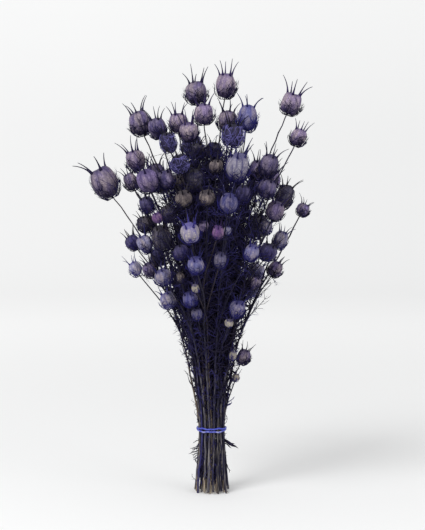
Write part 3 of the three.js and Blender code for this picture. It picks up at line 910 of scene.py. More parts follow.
@dataclass(frozen=True)
class PodForm:
    """The pod's body: an inflated egg of five carpels, in half widths and lengths."""

    carpels: int = 5
    steps_round: int = 35
    steps_up: int = 12
    widest: float = 0.0
    below: float = 0.5
    above: float = 0.47
    fullness_below: float = 0.85
    fullness_above: float = 0.62
    groove_low: float = 0.06
    groove_high: float = 0.17
    groove_power: float = 1.7
    rib: float = 0.03
    rib_edge: float = 0.97
    same_place: float = 1e-4

    def girth(self, height: float) -> float:
        """Distance of the skin from the axis at a height."""
        lower = height < self.widest
        share = (self.widest - height) / (self.below if lower else self.above)
        fullness = self.fullness_below if lower else self.fullness_above
        return max(0.0, 1 - share * share) ** (fullness / 2)

    def template(self) -> bpy.types.Mesh:
        """Spins the pod's outline and lobes it.

        Returns:
            A mesh of one half width and one length, with its skin attribute.
        """
        form = bmesh.new()
        outline = []
        for k in range(self.steps_up + 1):
            rise = math.cos(math.pi * k / self.steps_up)
            height = self.widest - rise * (self.below if rise > 0 else self.above)
            outline.append(form.verts.new((self.girth(height), 0, height)))
        for pair in zip(outline, outline[1:]):
            form.edges.new(pair)
        spin_round(form, [*form.verts, *form.edges], (0, 0, 0), self.steps_round)
        bmesh.ops.remove_doubles(form, verts=form.verts[:], dist=self.same_place)
        bmesh.ops.recalc_face_normals(form, faces=form.faces[:])
        skin = form.verts.layers.float_vector.new("skin")
        for vert in form.verts:
            self.lobe(vert, skin)
        mesh = bpy.data.meshes.new("pod_form")
        form.to_mesh(mesh)
        form.free()
        return mesh

    def lobe(self, vert: bmesh.types.BMVert, skin: Any) -> None:
        """Draws a vertex in between two carpels, and notes where it is on the skin.

        Args:
            vert: The vertex.
            skin: The layer that holds its direction round the pod and its share of the way up.
        """
        angle = math.atan2(vert.co.y, vert.co.x)
        up = (vert.co.z - self.widest + self.below) / (self.below + self.above)
        ridge = abs(math.cos(self.carpels * angle / 2))
        depth = self.groove_low + (self.groove_high - self.groove_low) * up**2
        rib = self.rib * max(0, ridge - self.rib_edge) / (1 - self.rib_edge)
        swell = 1 - depth * (1 - ridge) ** self.groove_power + rib
        vert[skin] = (math.cos(angle), math.sin(angle), up)
        vert.co.x *= swell
        vert.co.y *= swell


class Growth:
    """The lines that grow on one stem, and the random numbers that they are drawn with."""

    FIRST_SEED = 1000
    CRINKLE = 0.3
    DARK = from_hex(0x252133)
    VIOLET = from_hex(0x444082)
    PLAIN_SHARE = 0.3
    POD_SHARE = (0.2, 1.0)

    def __init__(self, stem: int) -> None:
        """Starts with no lines, at the stem's own seed."""
        self.draws = random.Random(self.FIRST_SEED + stem)
        self.stalks = LineBundle(8, Part.STALK)
        self.horns = LineBundle(6, Part.STALK)
        self.threads = LineBundle(4, Part.THREAD, pointed=True)

    def between(self, pair: Pair) -> float:
        """A random number between two."""
        return self.draws.uniform(*pair)

    def any_angle(self) -> float:
        """An angle at random."""
        return self.draws.uniform(0, TAU)

    def any_way(self) -> np.ndarray:
        """A direction at random, not of one length."""
        return np.array([self.draws.gauss(0, 1) for _ in range(3)])

    def thread_colour(self, dye: Optional[Dye] = None) -> Colour:
        """Draws a thread's colour.

        Args:
            dye: Tone of the pod that it is round.

        Returns:
            A colour from dark to violet, with something of the pod's threads.
        """
        plain = blend(self.DARK, self.VIOLET, self.draws.random() ** 2)
        if not dye:
            return plain
        return tuple(self.PLAIN_SHARE * np.array(plain) + self.between(self.POD_SHARE) * np.array(dye.thread))

    def thread(
        self, root: np.ndarray, way: np.ndarray, length: float, pieces: int, crinkle: float = CRINKLE
    ) -> np.ndarray:
        """Points of a crinkled thread.

        Args:
            root: Its first point.
            way: Direction in which it leaves.
            length: Its length.
            pieces: Straight pieces in it.
            crinkle: How far it turns at each point.

        Returns:
            Its points.
        """
        path = [root]
        for _ in range(pieces):
            way = unit(way) + crinkle * self.any_way()
            path.append(path[-1] + unit(way) * length / pieces)
        return np.array(path)


@dataclass(frozen=True)
class Stalks:
    """A stem, pale at its foot where the dye has rubbed off, and its side stalks."""

    # Stems left of this get pale tones more often: painted light on the lit side
    left_of: float = -5
    foot_radius: Pair = (0.95, 1.5)
    top_radius: float = 0.72
    thick_spread: Pair = (0.88, 1.12)
    rough: float = 0.3
    uneven_cut: Pair = (-2, 3)
    splay: float = 2.2
    splay_height: float = 64
    stem_steps: int = 6
    side_radius: Pair = (0.95, 0.62)
    side_steps: int = 5
    upper: Colour = from_hex(0x201C3A)
    upper_share: float = 0.85
    dyed_heights: Pair = (80, 180)
    bare_share: float = 0.42
    bare_length: Pair = (6, 34)
    bare_fade: float = 1.25
    bare: Colour = from_hex(0xC4B59C)
    frays: int = 3
    fray_root: Triple = (0, 0, 3)
    fray_way: Triple = (1, 1, 0.4)
    fray_length: Pair = (2, 5)
    fray_radius: Pair = (0.3, 0.12)

    def tone(self, growth: Growth, stem: Strand) -> Colour:
        """A stem's colour, drawn by the shares of the tones on its side of the bunch; pale tones are commoner
        on the left as painted light.
        """
        # Painted light: pale tones are drawn more often on the left, where the light falls
        left = stem.pod.slot[0] < self.left_of
        shares = [tone.share * (tone.on_left if left else 1) for tone in StalkDye]
        return growth.draws.choices(list(StalkDye), shares)[0].colour

    def grow(self, growth: Growth, stem: Strand, sides: Sequence[Strand]) -> None:
        """Adds a stem, the frays at its cut end and its side stalks.

        Args:
            growth: What grows on the stem.
            stem: The stem.
            sides: Its side stalks.
        """
        tone = self.tone(growth, stem)
        foot = growth.between(self.foot_radius)
        path = smooth_path(stem.path(), self.stem_steps)
        radii = foot + (self.top_radius - foot) * np.clip(path[:, 2] / path[-1, 2], 0, 1)
        radii *= [growth.between(self.thick_spread) for _ in radii]
        path[1:-1] += [growth.any_way() * self.rough for _ in path[1:-1]]
        path[0, 2] = max(0, growth.between(self.uneven_cut))
        turn = stem.pod.turn
        loose = self.splay * np.clip(1 - path[:, 2] / self.splay_height, 0, 1)
        path[:, :2] += np.outer(loose, (math.cos(turn), math.sin(turn)))
        upper = blend(tone, self.upper, self.upper_share)
        dyed = np.interp(path[:, 2], self.dyed_heights, (0, 1))
        line = Line(path, radii, np.outer(1 - dyed, tone) + np.outer(dyed, upper))
        growth.stalks.lines.append(line)
        if growth.draws.random() < self.bare_share:
            self.bare_foot(line, growth.between(self.bare_length))
        for _ in range(self.frays):
            way = growth.any_way() * self.fray_way
            fray = growth.thread(path[0] + self.fray_root, way, growth.between(self.fray_length), 2)
            growth.threads.add(fray, self.fray_radius, tone, self.bare)
        for side in sides:
            growth.stalks.add(smooth_path(side.path(), self.side_steps), self.side_radius, upper)

    def bare_foot(self, line: Line, length: float) -> None:
        """Pales the lowest part of a stem, with points more where the dye ends.

        Args:
            line: The stem's line.
            length: How far up it is pale.
        """
        share = length / line.points[1, 2]
        edge = line.points[0] + (line.points[1] - line.points[0]) * [[share], [share * self.bare_fade]]
        line.points = np.insert(line.points, 1, edge, axis=0)
        line.radii = np.insert(line.radii, 1, line.radii[:1].repeat(2))
        line.colours = np.insert(line.colours, 1, line.colours[:1].repeat(2, axis=0), axis=0)
        line.colours[:2] = self.bare


@dataclass(frozen=True)
class Horns:
    """A pod's horns, one on each carpel, curving outwards; sizes in widths of the pod."""

    carpels: int = 5
    root: Pair = (0.6, 0.35)
    length: float = 0.86
    length_spread: Pair = (0.72, 1.2)
    lean: float = 0.5
    lean_spread: float = 0.22
    aside: Pair = (-0.55, 0.55)
    pieces: int = 6
    first_tilt: float = 0.55
    more_tilt: float = 0.18
    radius: float = 0.034
    taper: tuple[float, ...] = (2.3, 1.3, 0.85, 0.65, 0.5, 0.36)
    thinnest: float = 0.2
    dark_share: float = 0.45

    def grow(self, growth: Growth, pod: Pod) -> None:
        """Adds a pod's horns.

        Args:
            growth: What grows on the stem.
            pod: The pod.
        """
        thick = np.maximum(pod.width * self.radius * np.array(self.taper), self.thinnest)
        dark = blend(pod.dye.stain, growth.DARK, self.dark_share)
        out_root, root_height = self.root
        for k in range(self.carpels):
            angle = pod.turn + TAU * k / self.carpels
            lean = self.lean + self.lean_spread * growth.draws.uniform(-1, 1)
            length = self.length * pod.width * growth.between(self.length_spread)
            out = unit(pod.point(1, angle, 0) - pod.middle)
            aside = np.cross(pod.axis, out) * growth.between(self.aside)
            path = [pod.point(out_root, angle, root_height)]
            for step in range(self.pieces):
                tilt = lean * (self.first_tilt + self.more_tilt * step)
                way = out * math.sin(tilt) + pod.axis * math.cos(tilt) + aside * step / self.pieces
                path.append(path[-1] + unit(way) * length / self.pieces)
            growth.horns.add(path, thick, pod.dye.stain, dark)


@dataclass(frozen=True)
class Bracts:
    """Forked threads that curl up round a pod from under it, in half widths and lengths of the pod."""

    small_pod: float = 14
    on_small: float = 0.7
    on_large: float = 1.2
    drift: Pair = (-1.3, 1.3)
    waver: Pair = (-0.12, 0.12)
    start: Profile = ((0.06, -0.54), (0.5, -0.55), (0.9, -0.42))
    reach: Pair = (1.03, 1.22)
    shoulder: float = -0.22
    belly: Pair = (0.98, 1.08)
    flare: Pair = (0.9, 1.3)
    top: Pair = (-0.22, 0.36)
    radius: Pair = (0.36, 0.2)
    fork_roots: tuple[int, ...] = (1, 2, 3, 3, 4)
    fork_swing: Pair = (0.2, 0.42)
    fork_rise: Pair = (0.1, 0.24)
    fork_flare: Pair = (-0.06, 0.22)
    fork_bow: Triple = (0.5, 0.6, 0.45)
    fork_radius: float = 0.8

    def grow(self, growth: Growth, pod: Pod) -> None:
        """Adds a pod's bracts.

        Args:
            growth: What grows on the stem.
            pod: The pod.
        """
        scale = self.on_small if pod.width < self.small_pod else self.on_large
        for _ in range(round(pod.dye.bracts * scale)):
            angle = growth.any_angle()
            drift = growth.between(self.drift)
            top = growth.between(self.top)
            reach = growth.between(self.reach)
            stations = [
                *self.start,
                (reach, self.shoulder),
                (reach * growth.between(self.belly), (top + self.shoulder) / 2),
                (reach * growth.between(self.flare), top),
            ]
            last = len(stations) - 1
            turns = [angle + drift * k / last + growth.between(self.waver) for k in range(last + 1)]
            path = [pod.point(out, turn, height) for (out, height), turn in zip(stations, turns)]
            colour = growth.thread_colour(pod.dye)
            growth.threads.add(path, self.radius, colour)
            for k in self.fork_roots:
                self.fork(growth, pod, turns[k], stations[k], colour)

    def fork(self, growth: Growth, pod: Pod, angle: float, station: Pair, colour: Colour) -> None:
        """Adds a side thread to a bract.

        Args:
            growth: What grows on the stem.
            pod: The pod that the bract is round.
            angle: Angle round the pod where it leaves the bract.
            station: Distance out and height where it does.
            colour: Colour of the thread.
        """
        out, height = station
        swing = growth.draws.choice((-1, 1)) * growth.between(self.fork_swing)
        rise = growth.between(self.fork_rise)
        flare = growth.between(self.fork_flare)
        path = []
        for flare_share, swing_share, rise_share in ((0, 0, 0), self.fork_bow, (1, 1, 1)):
            path.append(
                pod.point(out + flare * flare_share, angle + swing * swing_share, height + rise * rise_share)
            )
        growth.threads.add(path, np.array(self.radius) * self.fork_radius, colour)


@dataclass(frozen=True)
class Curls:
    """Curled threads that lie on a pod as a loose net, on its lower part or all over it."""

    form: PodForm = PodForm()
    on_netted: int = 64
    for_bract: int = 3
    no_curls: int = 13
    lowest: float = -0.47
    highest: float = -0.12
    netted_highest: float = 0.42
    turn_back: Pair = (-0.48, 0.44)
    off: Pair = (0.04, 0.16)
    netted_off: Pair = (0.05, 0.26)
    points: int = 7
    step_round: float = 0.22
    step_up: float = 0.1
    bend: Pair = (-1.2, 1.2)
    bend_spread: Pair = (-0.6, 1.2)
    radius: Pair = (0.34, 0.22)

    def grow(self, growth: Growth, pod: Pod) -> None:
        """Adds a pod's curls: many on a netted one, and elsewhere more where there are more bracts.

        Args:
            growth: What grows on the stem.
            pod: The pod.
        """
        netted = pod.dye.netted
        count = self.on_netted if netted else self.for_bract * (pod.dye.bracts - self.no_curls)
        heights = (self.lowest, self.netted_highest if netted else self.highest)
        low, high = self.turn_back
        for _ in range(count):
            angle = growth.any_angle()
            height = growth.between(heights)
            heading = growth.any_angle()
            bend = growth.between(self.bend)
            off = growth.between(self.netted_off if netted else self.off)
            path = []
            for _ in range(self.points):
                path.append(pod.point(self.form.girth(height) + off, angle, height))
                angle += self.step_round * math.cos(heading)
                rise = self.step_up * math.sin(heading)
                height += rise if low < height + rise < high else -rise
                heading += bend * growth.between(self.bend_spread)
            growth.threads.add(path, self.radius, growth.thread_colour(pod.dye))


@dataclass(frozen=True)
class Leaves:
    """Leaves of forked threads along the strands, loose under the pods and plain inside the bunch."""

    lowest: float = 4
    highest: float = 394
    foot_gap: float = 6
    top_gap: float = 12
    gap_spread: Pair = (0.5, 1.5)
    gaps: Profile = (
        (60, 5),
        (80, 8),
        (130, 5.5),
        (175, 4.2),
        (290, 3.3),
        (325, 1.8),
        (380, 1.5),
        (394, 5),
    )
    slant_heights: Pair = (140, 215)
    slant_low: Pair = (0.05, 0.4)
    slant_high: Pair = (0.3, 1.15)
    length: Pair = (20, 42)
    low_length: float = 0.45
    pieces: int = 4
    radius: Pair = (0.4, 0.22)
    thick_reach: Pair = (0.3, 1)
    thick_share: Pair = (1.7, 0.52)
    limits: Triple = (0.76, 0.95, 1.2)
    limit_shares: Triple = (0.55, 0.3, 0.15)
    twig_roots: tuple[int, ...] = (1, 1, 2, 2, 3)
    twig_spread: float = 0.95
    twig_length: Pair = (0.2, 0.42)
    twig_radius: float = 0.85
    nest_highest: float = 384
    nest_root: float = -0.55
    nest_leaves: int = 14
    nest_slant: Pair = (0.5, 2.1)
    nest_length: Pair = (14, 32)
    core_heights: Pair = (110, 388)
    core_top_gap: float = 10
    core_gap: float = 4
    core_rise: Triple = (0, 0, 0.5)
    core_pieces: int = 3
    core_share: float = 0.8
    core_radius: Pair = (0.95, 0.5)
    spread: Profile = (
        (0, 23),
        (60, 18),
        (70, 15.2),
        (78, 15.2),
        (90, 22),
        (129, 33),
        (176, 48),
        (210, 60),
        (245, 72),
        (340, 82),
        (380, 66),
        (400, 50),
    )

    def grow(self, growth: Growth, strand: Strand) -> None:
        """Adds leaves along a strand, closest together between the pods.

        Args:
            growth: What grows on the stem.
            strand: The stem or a side stalk.
        """
        top = min(self.highest, strand.heights[-1] - self.top_gap)
        z = max(self.lowest, strand.heights[0] + self.foot_gap)
        while True:
            z += read_profile(self.gaps, z) * growth.between(self.gap_spread)
            if z > top:
                return
            ease = np.interp(z, self.slant_heights, (0, 1))
            slant = growth.between(self.slant_low) * (1 - ease) + growth.between(self.slant_high) * ease
            length = growth.between(self.length) * (self.low_length + (1 - self.low_length) * ease)
            self.leaf(growth, strand.place(z), slant, length)

    def nest(self, growth: Growth, pod: Pod) -> None:
        """Adds loose leaves that spread every way from the foot of a pod inside the bunch.

        Args:
            growth: What grows on the stem.
            pod: The pod.
        """
        if pod.middle[2] > self.nest_highest:
            return
        for _ in range(self.nest_leaves):
            slant = growth.between(self.nest_slant)
            self.leaf(growth, pod.point(0, 0, self.nest_root), slant, growth.between(self.nest_length))

    def leaf(self, growth: Growth, root: np.ndarray, slant: float, length: float) -> None:
        """Adds one leaf, a crinkled main thread with side threads, unless it would leave the bunch.

        Args:
            growth: What grows on the stem.
            root: Where it grows.
            slant: Its angle from upright.
            length: Its length.
        """
        angle = growth.any_angle()
        out = np.array([math.cos(angle), math.sin(angle), 0])
        way = out * math.sin(slant) + np.array([0, 0, math.cos(slant)])
        colour = growth.thread_colour()
        path = growth.thread(root, way, length, self.pieces)
        reach = self.reach(path)
        if reach > growth.draws.choices(self.limits, self.limit_shares)[0]:
            return
        thick = np.array(self.radius) * np.interp(reach, self.thick_reach, self.thick_share)
        growth.threads.add(path, thick, colour)
        for k in self.twig_roots:
            way = unit(path[k + 1] - path[k]) + unit(growth.any_way()) * self.twig_spread
            twig = growth.thread(path[k], way, length * growth.between(self.twig_length), 2)
            growth.threads.add(twig, thick * self.twig_radius, colour)

    def reach(self, path: np.ndarray) -> float:
        """How far a thread goes out from the bunch's axis, as a share of the leaves' spread."""
        return float(np.max(np.hypot(path[:, 0], path[:, 1]) / read_profile(self.spread, path[:, 2])))

    def core(self, growth: Growth, strand: Strand) -> None:
        """Adds plain dark threads inside the bunch, which close it to the light.

        Args:
            growth: What grows on the stem.
            strand: The stem or a side stalk.
        """
        low = max(self.core_heights[0], strand.heights[0] + self.foot_gap)
        high = min(self.core_heights[1], strand.heights[-1] - self.core_top_gap)
        for z in np.arange(low, high, self.core_gap):
            way = growth.any_way() + self.core_rise
            path = growth.thread(strand.place(z), way, growth.between(self.length), self.core_pieces)
            if self.reach(path) < self.core_share and path[-1, 2] < self.highest:
                growth.threads.add(path, self.core_radius, growth.DARK)


@dataclass(frozen=True)
class LooseBits:
    """Stray bits with side threads; those under the pods are feathers, straighter and with more."""

    feather_height: float = 120
    feather_crinkle: float = Growth.CRINKLE / 3
    feather_roots: tuple[int, ...] = (1, 2, 2, 3, 3, 4, 4)
    twig_roots: tuple[int, ...] = (2, 3)
    forward: float = -0.25
    pieces: int = 5
    tip_radius: float = 0.15
    twig_spread: float = 0.4
    twig_length: Pair = (0.2, 0.4)
    twig_pieces: int = 3
    twig_radius: float = 0.6
    twig_tip: float = 0.2

    def grow(self, growth: Growth, stem: Strand, stray: Stray) -> None:
        """Adds a bit that stands off a stem.

        Args:
            growth: What grows on the stem.
            stem: The stem.
            stray: The bit.
        """
        feather = stray.height > self.feather_height
        crinkle = self.feather_crinkle if feather else growth.CRINKLE
        colour = growth.VIOLET if stray.dyed else growth.DARK
        way = np.array([stray.side * math.sin(stray.slant), self.forward, math.cos(stray.slant)])
        path = growth.thread(stem.place(stray.height), way, stray.length, self.pieces, crinkle)
        growth.threads.add(path, (stray.radius, stray.radius, self.tip_radius), colour)
        for k in self.feather_roots if feather else self.twig_roots:
            along = (path[k] - path[k - 1]) * self.pieces / stray.length
            way = along + growth.any_way() * self.twig_spread
            length = stray.length * growth.between(self.twig_length)
            twig = growth.thread(path[k], way, length, self.twig_pieces)
            growth.threads.add(twig, (stray.radius * self.twig_radius, self.twig_tip), colour)


@dataclass
class StemPiece:
    """One stem with its stalks, pods, horns, bracts and leaf threads, in place of its node."""

    stem: Strand
    sides: Sequence[Strand]
    strays: Sequence[Stray]
    stalks: Stalks = Stalks()
    horns: Horns = Horns()
    bracts: Bracts = Bracts()
    curls: Curls = Curls()
    leaves: Leaves = Leaves()
    loose_bits: LooseBits = LooseBits()
    dent: float = 0.13
    dent_scale: float = 1.7
    dent_shift: Pair = (-50, 50)
    shade: Pair = (0.82, 1.2)

    def __post_init__(self) -> None:
        """Starts with nothing grown."""
        self.growth = Growth(self.stem.stem)
        self.strands = [self.stem, *self.sides]

    @property
    def node(self) -> str:
        """Name of the frame's node that the piece replaces."""
        return f"stem_{self.stem.stem + 1:02d}"

    def grow(self) -> None:
        """Grows everything but the pods' bodies."""
        self.stalks.grow(self.growth, self.stem, self.sides)
        for strand in self.strands:
            self.horns.grow(self.growth, strand.pod)
            self.bracts.grow(self.growth, strand.pod)
            self.curls.grow(self.growth, strand.pod)
            self.leaves.nest(self.growth, strand.pod)
            self.leaves.grow(self.growth, strand)
            self.leaves.core(self.growth, strand)
        for stray in self.strays:
            self.loose_bits.grow(self.growth, self.stem, stray)

    def add_pod(
        self, form: bmesh.types.BMesh, template: bpy.types.Mesh, pod: Pod, offset: np.ndarray
    ) -> None:
        """Adds a pod's body to the piece.

        Args:
            form: The piece's mesh, to which it is added.
            template: The pod's form.
            pod: The pod.
            offset: Place of the bunch's axis, in millimetres.
        """
        first = len(form.verts)
        form.from_mesh(template)
        form.verts.ensure_lookup_table()
        verts = form.verts[first:]
        place = Matrix.Translation(Vector((pod.middle + offset) * MM))
        lean = Matrix(pod.frame().tolist()).to_4x4()
        turn = Matrix.Rotation(pod.turn, 4, "Z")
        size = Matrix.Diagonal((pod.width / 2 * MM, pod.width / 2 * MM, pod.length * MM, 1))
        shift = Vector([self.growth.between(self.dent_shift) for _ in range(3)])
        for vert in verts:
            vert.co *= 1 + self.dent * noise.noise(vert.co * self.dent_scale + shift)
        bmesh.ops.transform(form, matrix=place @ lean @ turn @ size, verts=verts)
        dye = form.verts.layers.float_color["dye"]
        stain = form.verts.layers.float_color["stain"]
        shade = self.growth.between(self.shade)
        ground = Vector((*(np.array(pod.dye.ground) * shade), self.growth.draws.random()))
        for vert in verts:
            vert[dye] = ground
            vert[stain] = (*pod.dye.stain, pod.dye.bare)

    def build(
        self, template: bpy.types.Mesh, offset: np.ndarray, finishes: Sequence[Any]
    ) -> bpy.types.Object:
        """Builds the piece and puts it in its node's place.

        Args:
            template: The pod's form.
            offset: Place of the bunch's axis, in millimetres.
            finishes: Materials in the order of Part.

        Returns:
            The piece's object.
        """
        self.grow()
        name = f"nigella_{self.stem.stem + 1:02d}"
        form = bmesh.new()
        for bundle in (self.growth.stalks, self.growth.horns, self.growth.threads):
            swept = bundle.mesh(name, offset)
            form.from_mesh(swept)
            bpy.data.meshes.remove(swept)
        for strand in self.strands:
            self.add_pod(form, template, strand.pod, offset)
        for vert in form.verts:
            vert.co.z = max(vert.co.z, 0)
        piece = make_object(name, form, finishes)
        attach(piece, "root")
        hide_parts(self.node)
        return piece


@dataclass
class RubberBand:
    """The rubber band: two turns that cross behind and part in front, pressed a little on the stems."""

    radius: float = 16.85
    thickness: float = 1.9
    tilt: float = 0.06
    rise: float = 1.5
    height: float = 74
    steps_round: int = 108
    steps_section: int = 14
    stems_round: int = 18
    press: float = 0.2
    waver: float = 0.4
    slow_waves: int = 5
    fast_waves: int = 11
    fast_share: float = 0.6
    phases: Pair = (0.6, 3.4)

    def turn(self, form: bmesh.types.BMesh, tilt: float, rise: float, phase: float) -> None:
        """Adds one turn of the band, a round section spun about the bunch's axis.

        Args:
            form: Mesh to which it is added.
            tilt: Its slope about the x axis.
            rise: Its height above the band's middle.
            phase: Where its slight wave up and down starts.
        """
        before = set(form.verts)
        section = bmesh.ops.create_circle(form, segments=self.steps_section, radius=self.thickness / 2 * MM)
        verts = section["verts"]
        upright = Matrix.Translation((self.radius * MM, 0, 0)) @ Matrix.Rotation(math.pi / 2, 4, "X")
        bmesh.ops.transform(form, matrix=upright, verts=verts)
        edges = dict.fromkeys(edge for vert in verts for edge in vert.link_edges)
        spin_round(form, [*verts, *edges], (0, 0, 0), self.steps_round)
        loop = [vert for vert in form.verts if vert not in before]
        for vert in loop:
            angle = math.atan2(vert.co.y, vert.co.x)
            pressed = self.press * MM * (1 - math.cos(self.stems_round * angle)) / 2
            draw = 1 - pressed / vert.co.xy.length
            vert.co.x *= draw
            vert.co.y *= draw
            slow = math.sin(self.slow_waves * angle + phase)
            fast = math.sin(self.fast_waves * angle + phase)
            vert.co.z += self.waver * MM * (slow + self.fast_share * fast)
        lean = Matrix.Translation((0, 0, (self.height + rise) * MM)) @ Matrix.Rotation(tilt, 4, "X")
        bmesh.ops.transform(form, matrix=lean, verts=loop)

    def build(self, offset: np.ndarray, finish: bpy.types.Material) -> bpy.types.Object:
        """Builds the band in place of its node.

        Args:
            offset: Place of the bunch's axis, in millimetres.
            finish: The rubber.

        Returns:
            The band's object.
        """
        form = bmesh.new()
        for side, phase in zip((-1, 1), self.phases):
            self.turn(form, side * self.tilt, -side * self.rise / 2, phase)
        bmesh.ops.translate(form, vec=Vector(offset * MM), verts=form.verts[:])
        bmesh.ops.recalc_face_normals(form, faces=form.faces[:])
        band = make_object("rubber_band", form, [finish])
        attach(band, "root")
        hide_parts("band")
        return band


Number = Union["Socket", float]


class Socket:
    """A value in a material, on which Python's operators add Math nodes."""

    def __init__(self, tree: "Tree", socket: bpy.types.NodeSocket) -> None:
        """Wraps a node's output."""
        self.tree = tree
        self.socket = socket

    def math(self, operation: str, *others: Number) -> "Socket":
        """The result of a Math node."""
        return self.tree.node("ShaderNodeMath", {"operation": operation}, [self, *others])

    def __add__(self, other: Number) -> "Socket":
        """Sum."""
        return self.math("ADD", other)

    __radd__ = __add__

    def __sub__(self, other: Number) -> "Socket":
        """Difference."""
        return self.math("SUBTRACT", other)

    def __rsub__(self, other: float) -> "Socket":
        """Difference from a number."""
        return self.tree.node("ShaderNodeMath", {"operation": "SUBTRACT"}, [other, self])

    def __mul__(self, other: Number) -> "Socket":
        """Product."""
        return self.math("MULTIPLY", other)

    __rmul__ = __mul__

    def most(self, other: "Socket") -> "Socket":
        """The larger of two values."""
        return self.math("MAXIMUM", other)

    def between(self, edge: Pair) -> "Socket":
        """0 below the edge's first value and 1 above its second, smooth in between."""
        values = {"Value": self, "From Min": edge[0], "From Max": edge[1]}
        return self.tree.node("ShaderNodeMapRange", {"interpolation_type": "SMOOTHSTEP"}, values)


class Tree:
    """A material and the means to add nodes to it."""

    def __init__(self, name: str) -> None:
        """Makes a material that holds only its output."""
        self.material = bpy.data.materials.new(name)
        self.material.use_nodes = True
        self.nodes = self.material.node_tree.nodes
        self.links = self.material.node_tree.links
        self.nodes.clear()
        self.output = self.nodes.new("ShaderNodeOutputMaterial")

    def node(self, kind: str, settings: dict[str, Any], values: Any, output: Union[int, str] = 0) -> Socket:
        """Adds a node.

        Args:
            kind: The node's type.
            settings: Its settings, set before its sockets.
            values: Values or links of its sockets, by name or in order.
            output: The output that is wanted.

        Returns:
            That output.
        """
        made = self.nodes.new(kind)
        for key, value in settings.items():
            setattr(made, key, value)
        pairs = values.items() if isinstance(values, dict) else enumerate(values)
        for key, value in pairs:
            if isinstance(value, Socket):
                self.links.new(value.socket, made.inputs[key])
            else:
                made.inputs[key].default_value = value
        return Socket(self, made.outputs[output])

    def attribute(self, name: str, output: str = "Color") -> Socket:
        """A mesh attribute."""
        return self.node("ShaderNodeAttribute", {"attribute_name": name}, {}, output)

    def scaled(self, where: Socket, scale: Triple) -> Socket:
        """A place times a scale along each axis."""
        return self.node("ShaderNodeMapping", {}, {"Vector": where, "Scale": scale}, "Vector")

    def place(self, scale: Triple = (1, 1, 1)) -> Socket:
        """The place on the piece, in metres times a scale along each axis."""
        return self.scaled(self.node("ShaderNodeTexCoord", {}, {}, "Object"), scale)

    def along(self, axis: int, where: Socket) -> Socket:
        """A place's distance along the x, y or z axis, numbered from 0."""
        return self.node("ShaderNodeSeparateXYZ", {}, [where], axis)

    def noise(self, scale: Triple, detail: float) -> Socket:
        """Cloudy noise around 0.5."""
        values = {"Vector": self.place(scale), "Scale": 1.0, "Detail": detail}
        return self.node("ShaderNodeTexNoise", {}, values)

    def cloud(self, where: Socket, scale: Triple, own: Socket, detail: float) -> Socket:
        """Cloudy noise around 0.5 at a place, shifted for each piece by its own number."""
        values = {"Vector": self.scaled(where, scale), "W": own, "Scale": 1.0, "Detail": detail}
        return self.node("ShaderNodeTexNoise", {"noise_dimensions": "4D"}, values)

    def mix(self, share: Number, first: Any, second: Any, blend_type: str = "MIX") -> Socket:
        """A mix of two colours."""
        settings = {"data_type": "RGBA", "blend_type": blend_type}
        return self.node("ShaderNodeMix", settings, {0: share, 6: first, 7: second}, 2)

    def bump(self, height: Socket, strength: float, distance: float) -> Socket:
        """A surface normal raised by a height."""
        values = {"Strength": strength, "Distance": distance, "Height": height}
        return self.node("ShaderNodeBump", {}, values)

    def finish(self, colour: Any, roughness: Number, specular: float, **others: Any) -> bpy.types.Material:
        """Closes the material with a Principled shader.

        Args:
            colour: Its base colour.
            roughness: Its roughness.
            specular: Its specular level.
            others: Values or links of its other sockets, with _ for a space.

        Returns:
            The material.
        """
        values = {"Base Color": colour, "Roughness": roughness, "Specular IOR Level": specular}
        for name, value in others.items():
            values[name.replace("_", " ")] = value
        shader = self.node("ShaderNodeBsdfPrincipled", {}, values)
        self.links.new(shader.socket, self.output.inputs["Surface"])
        return self.material


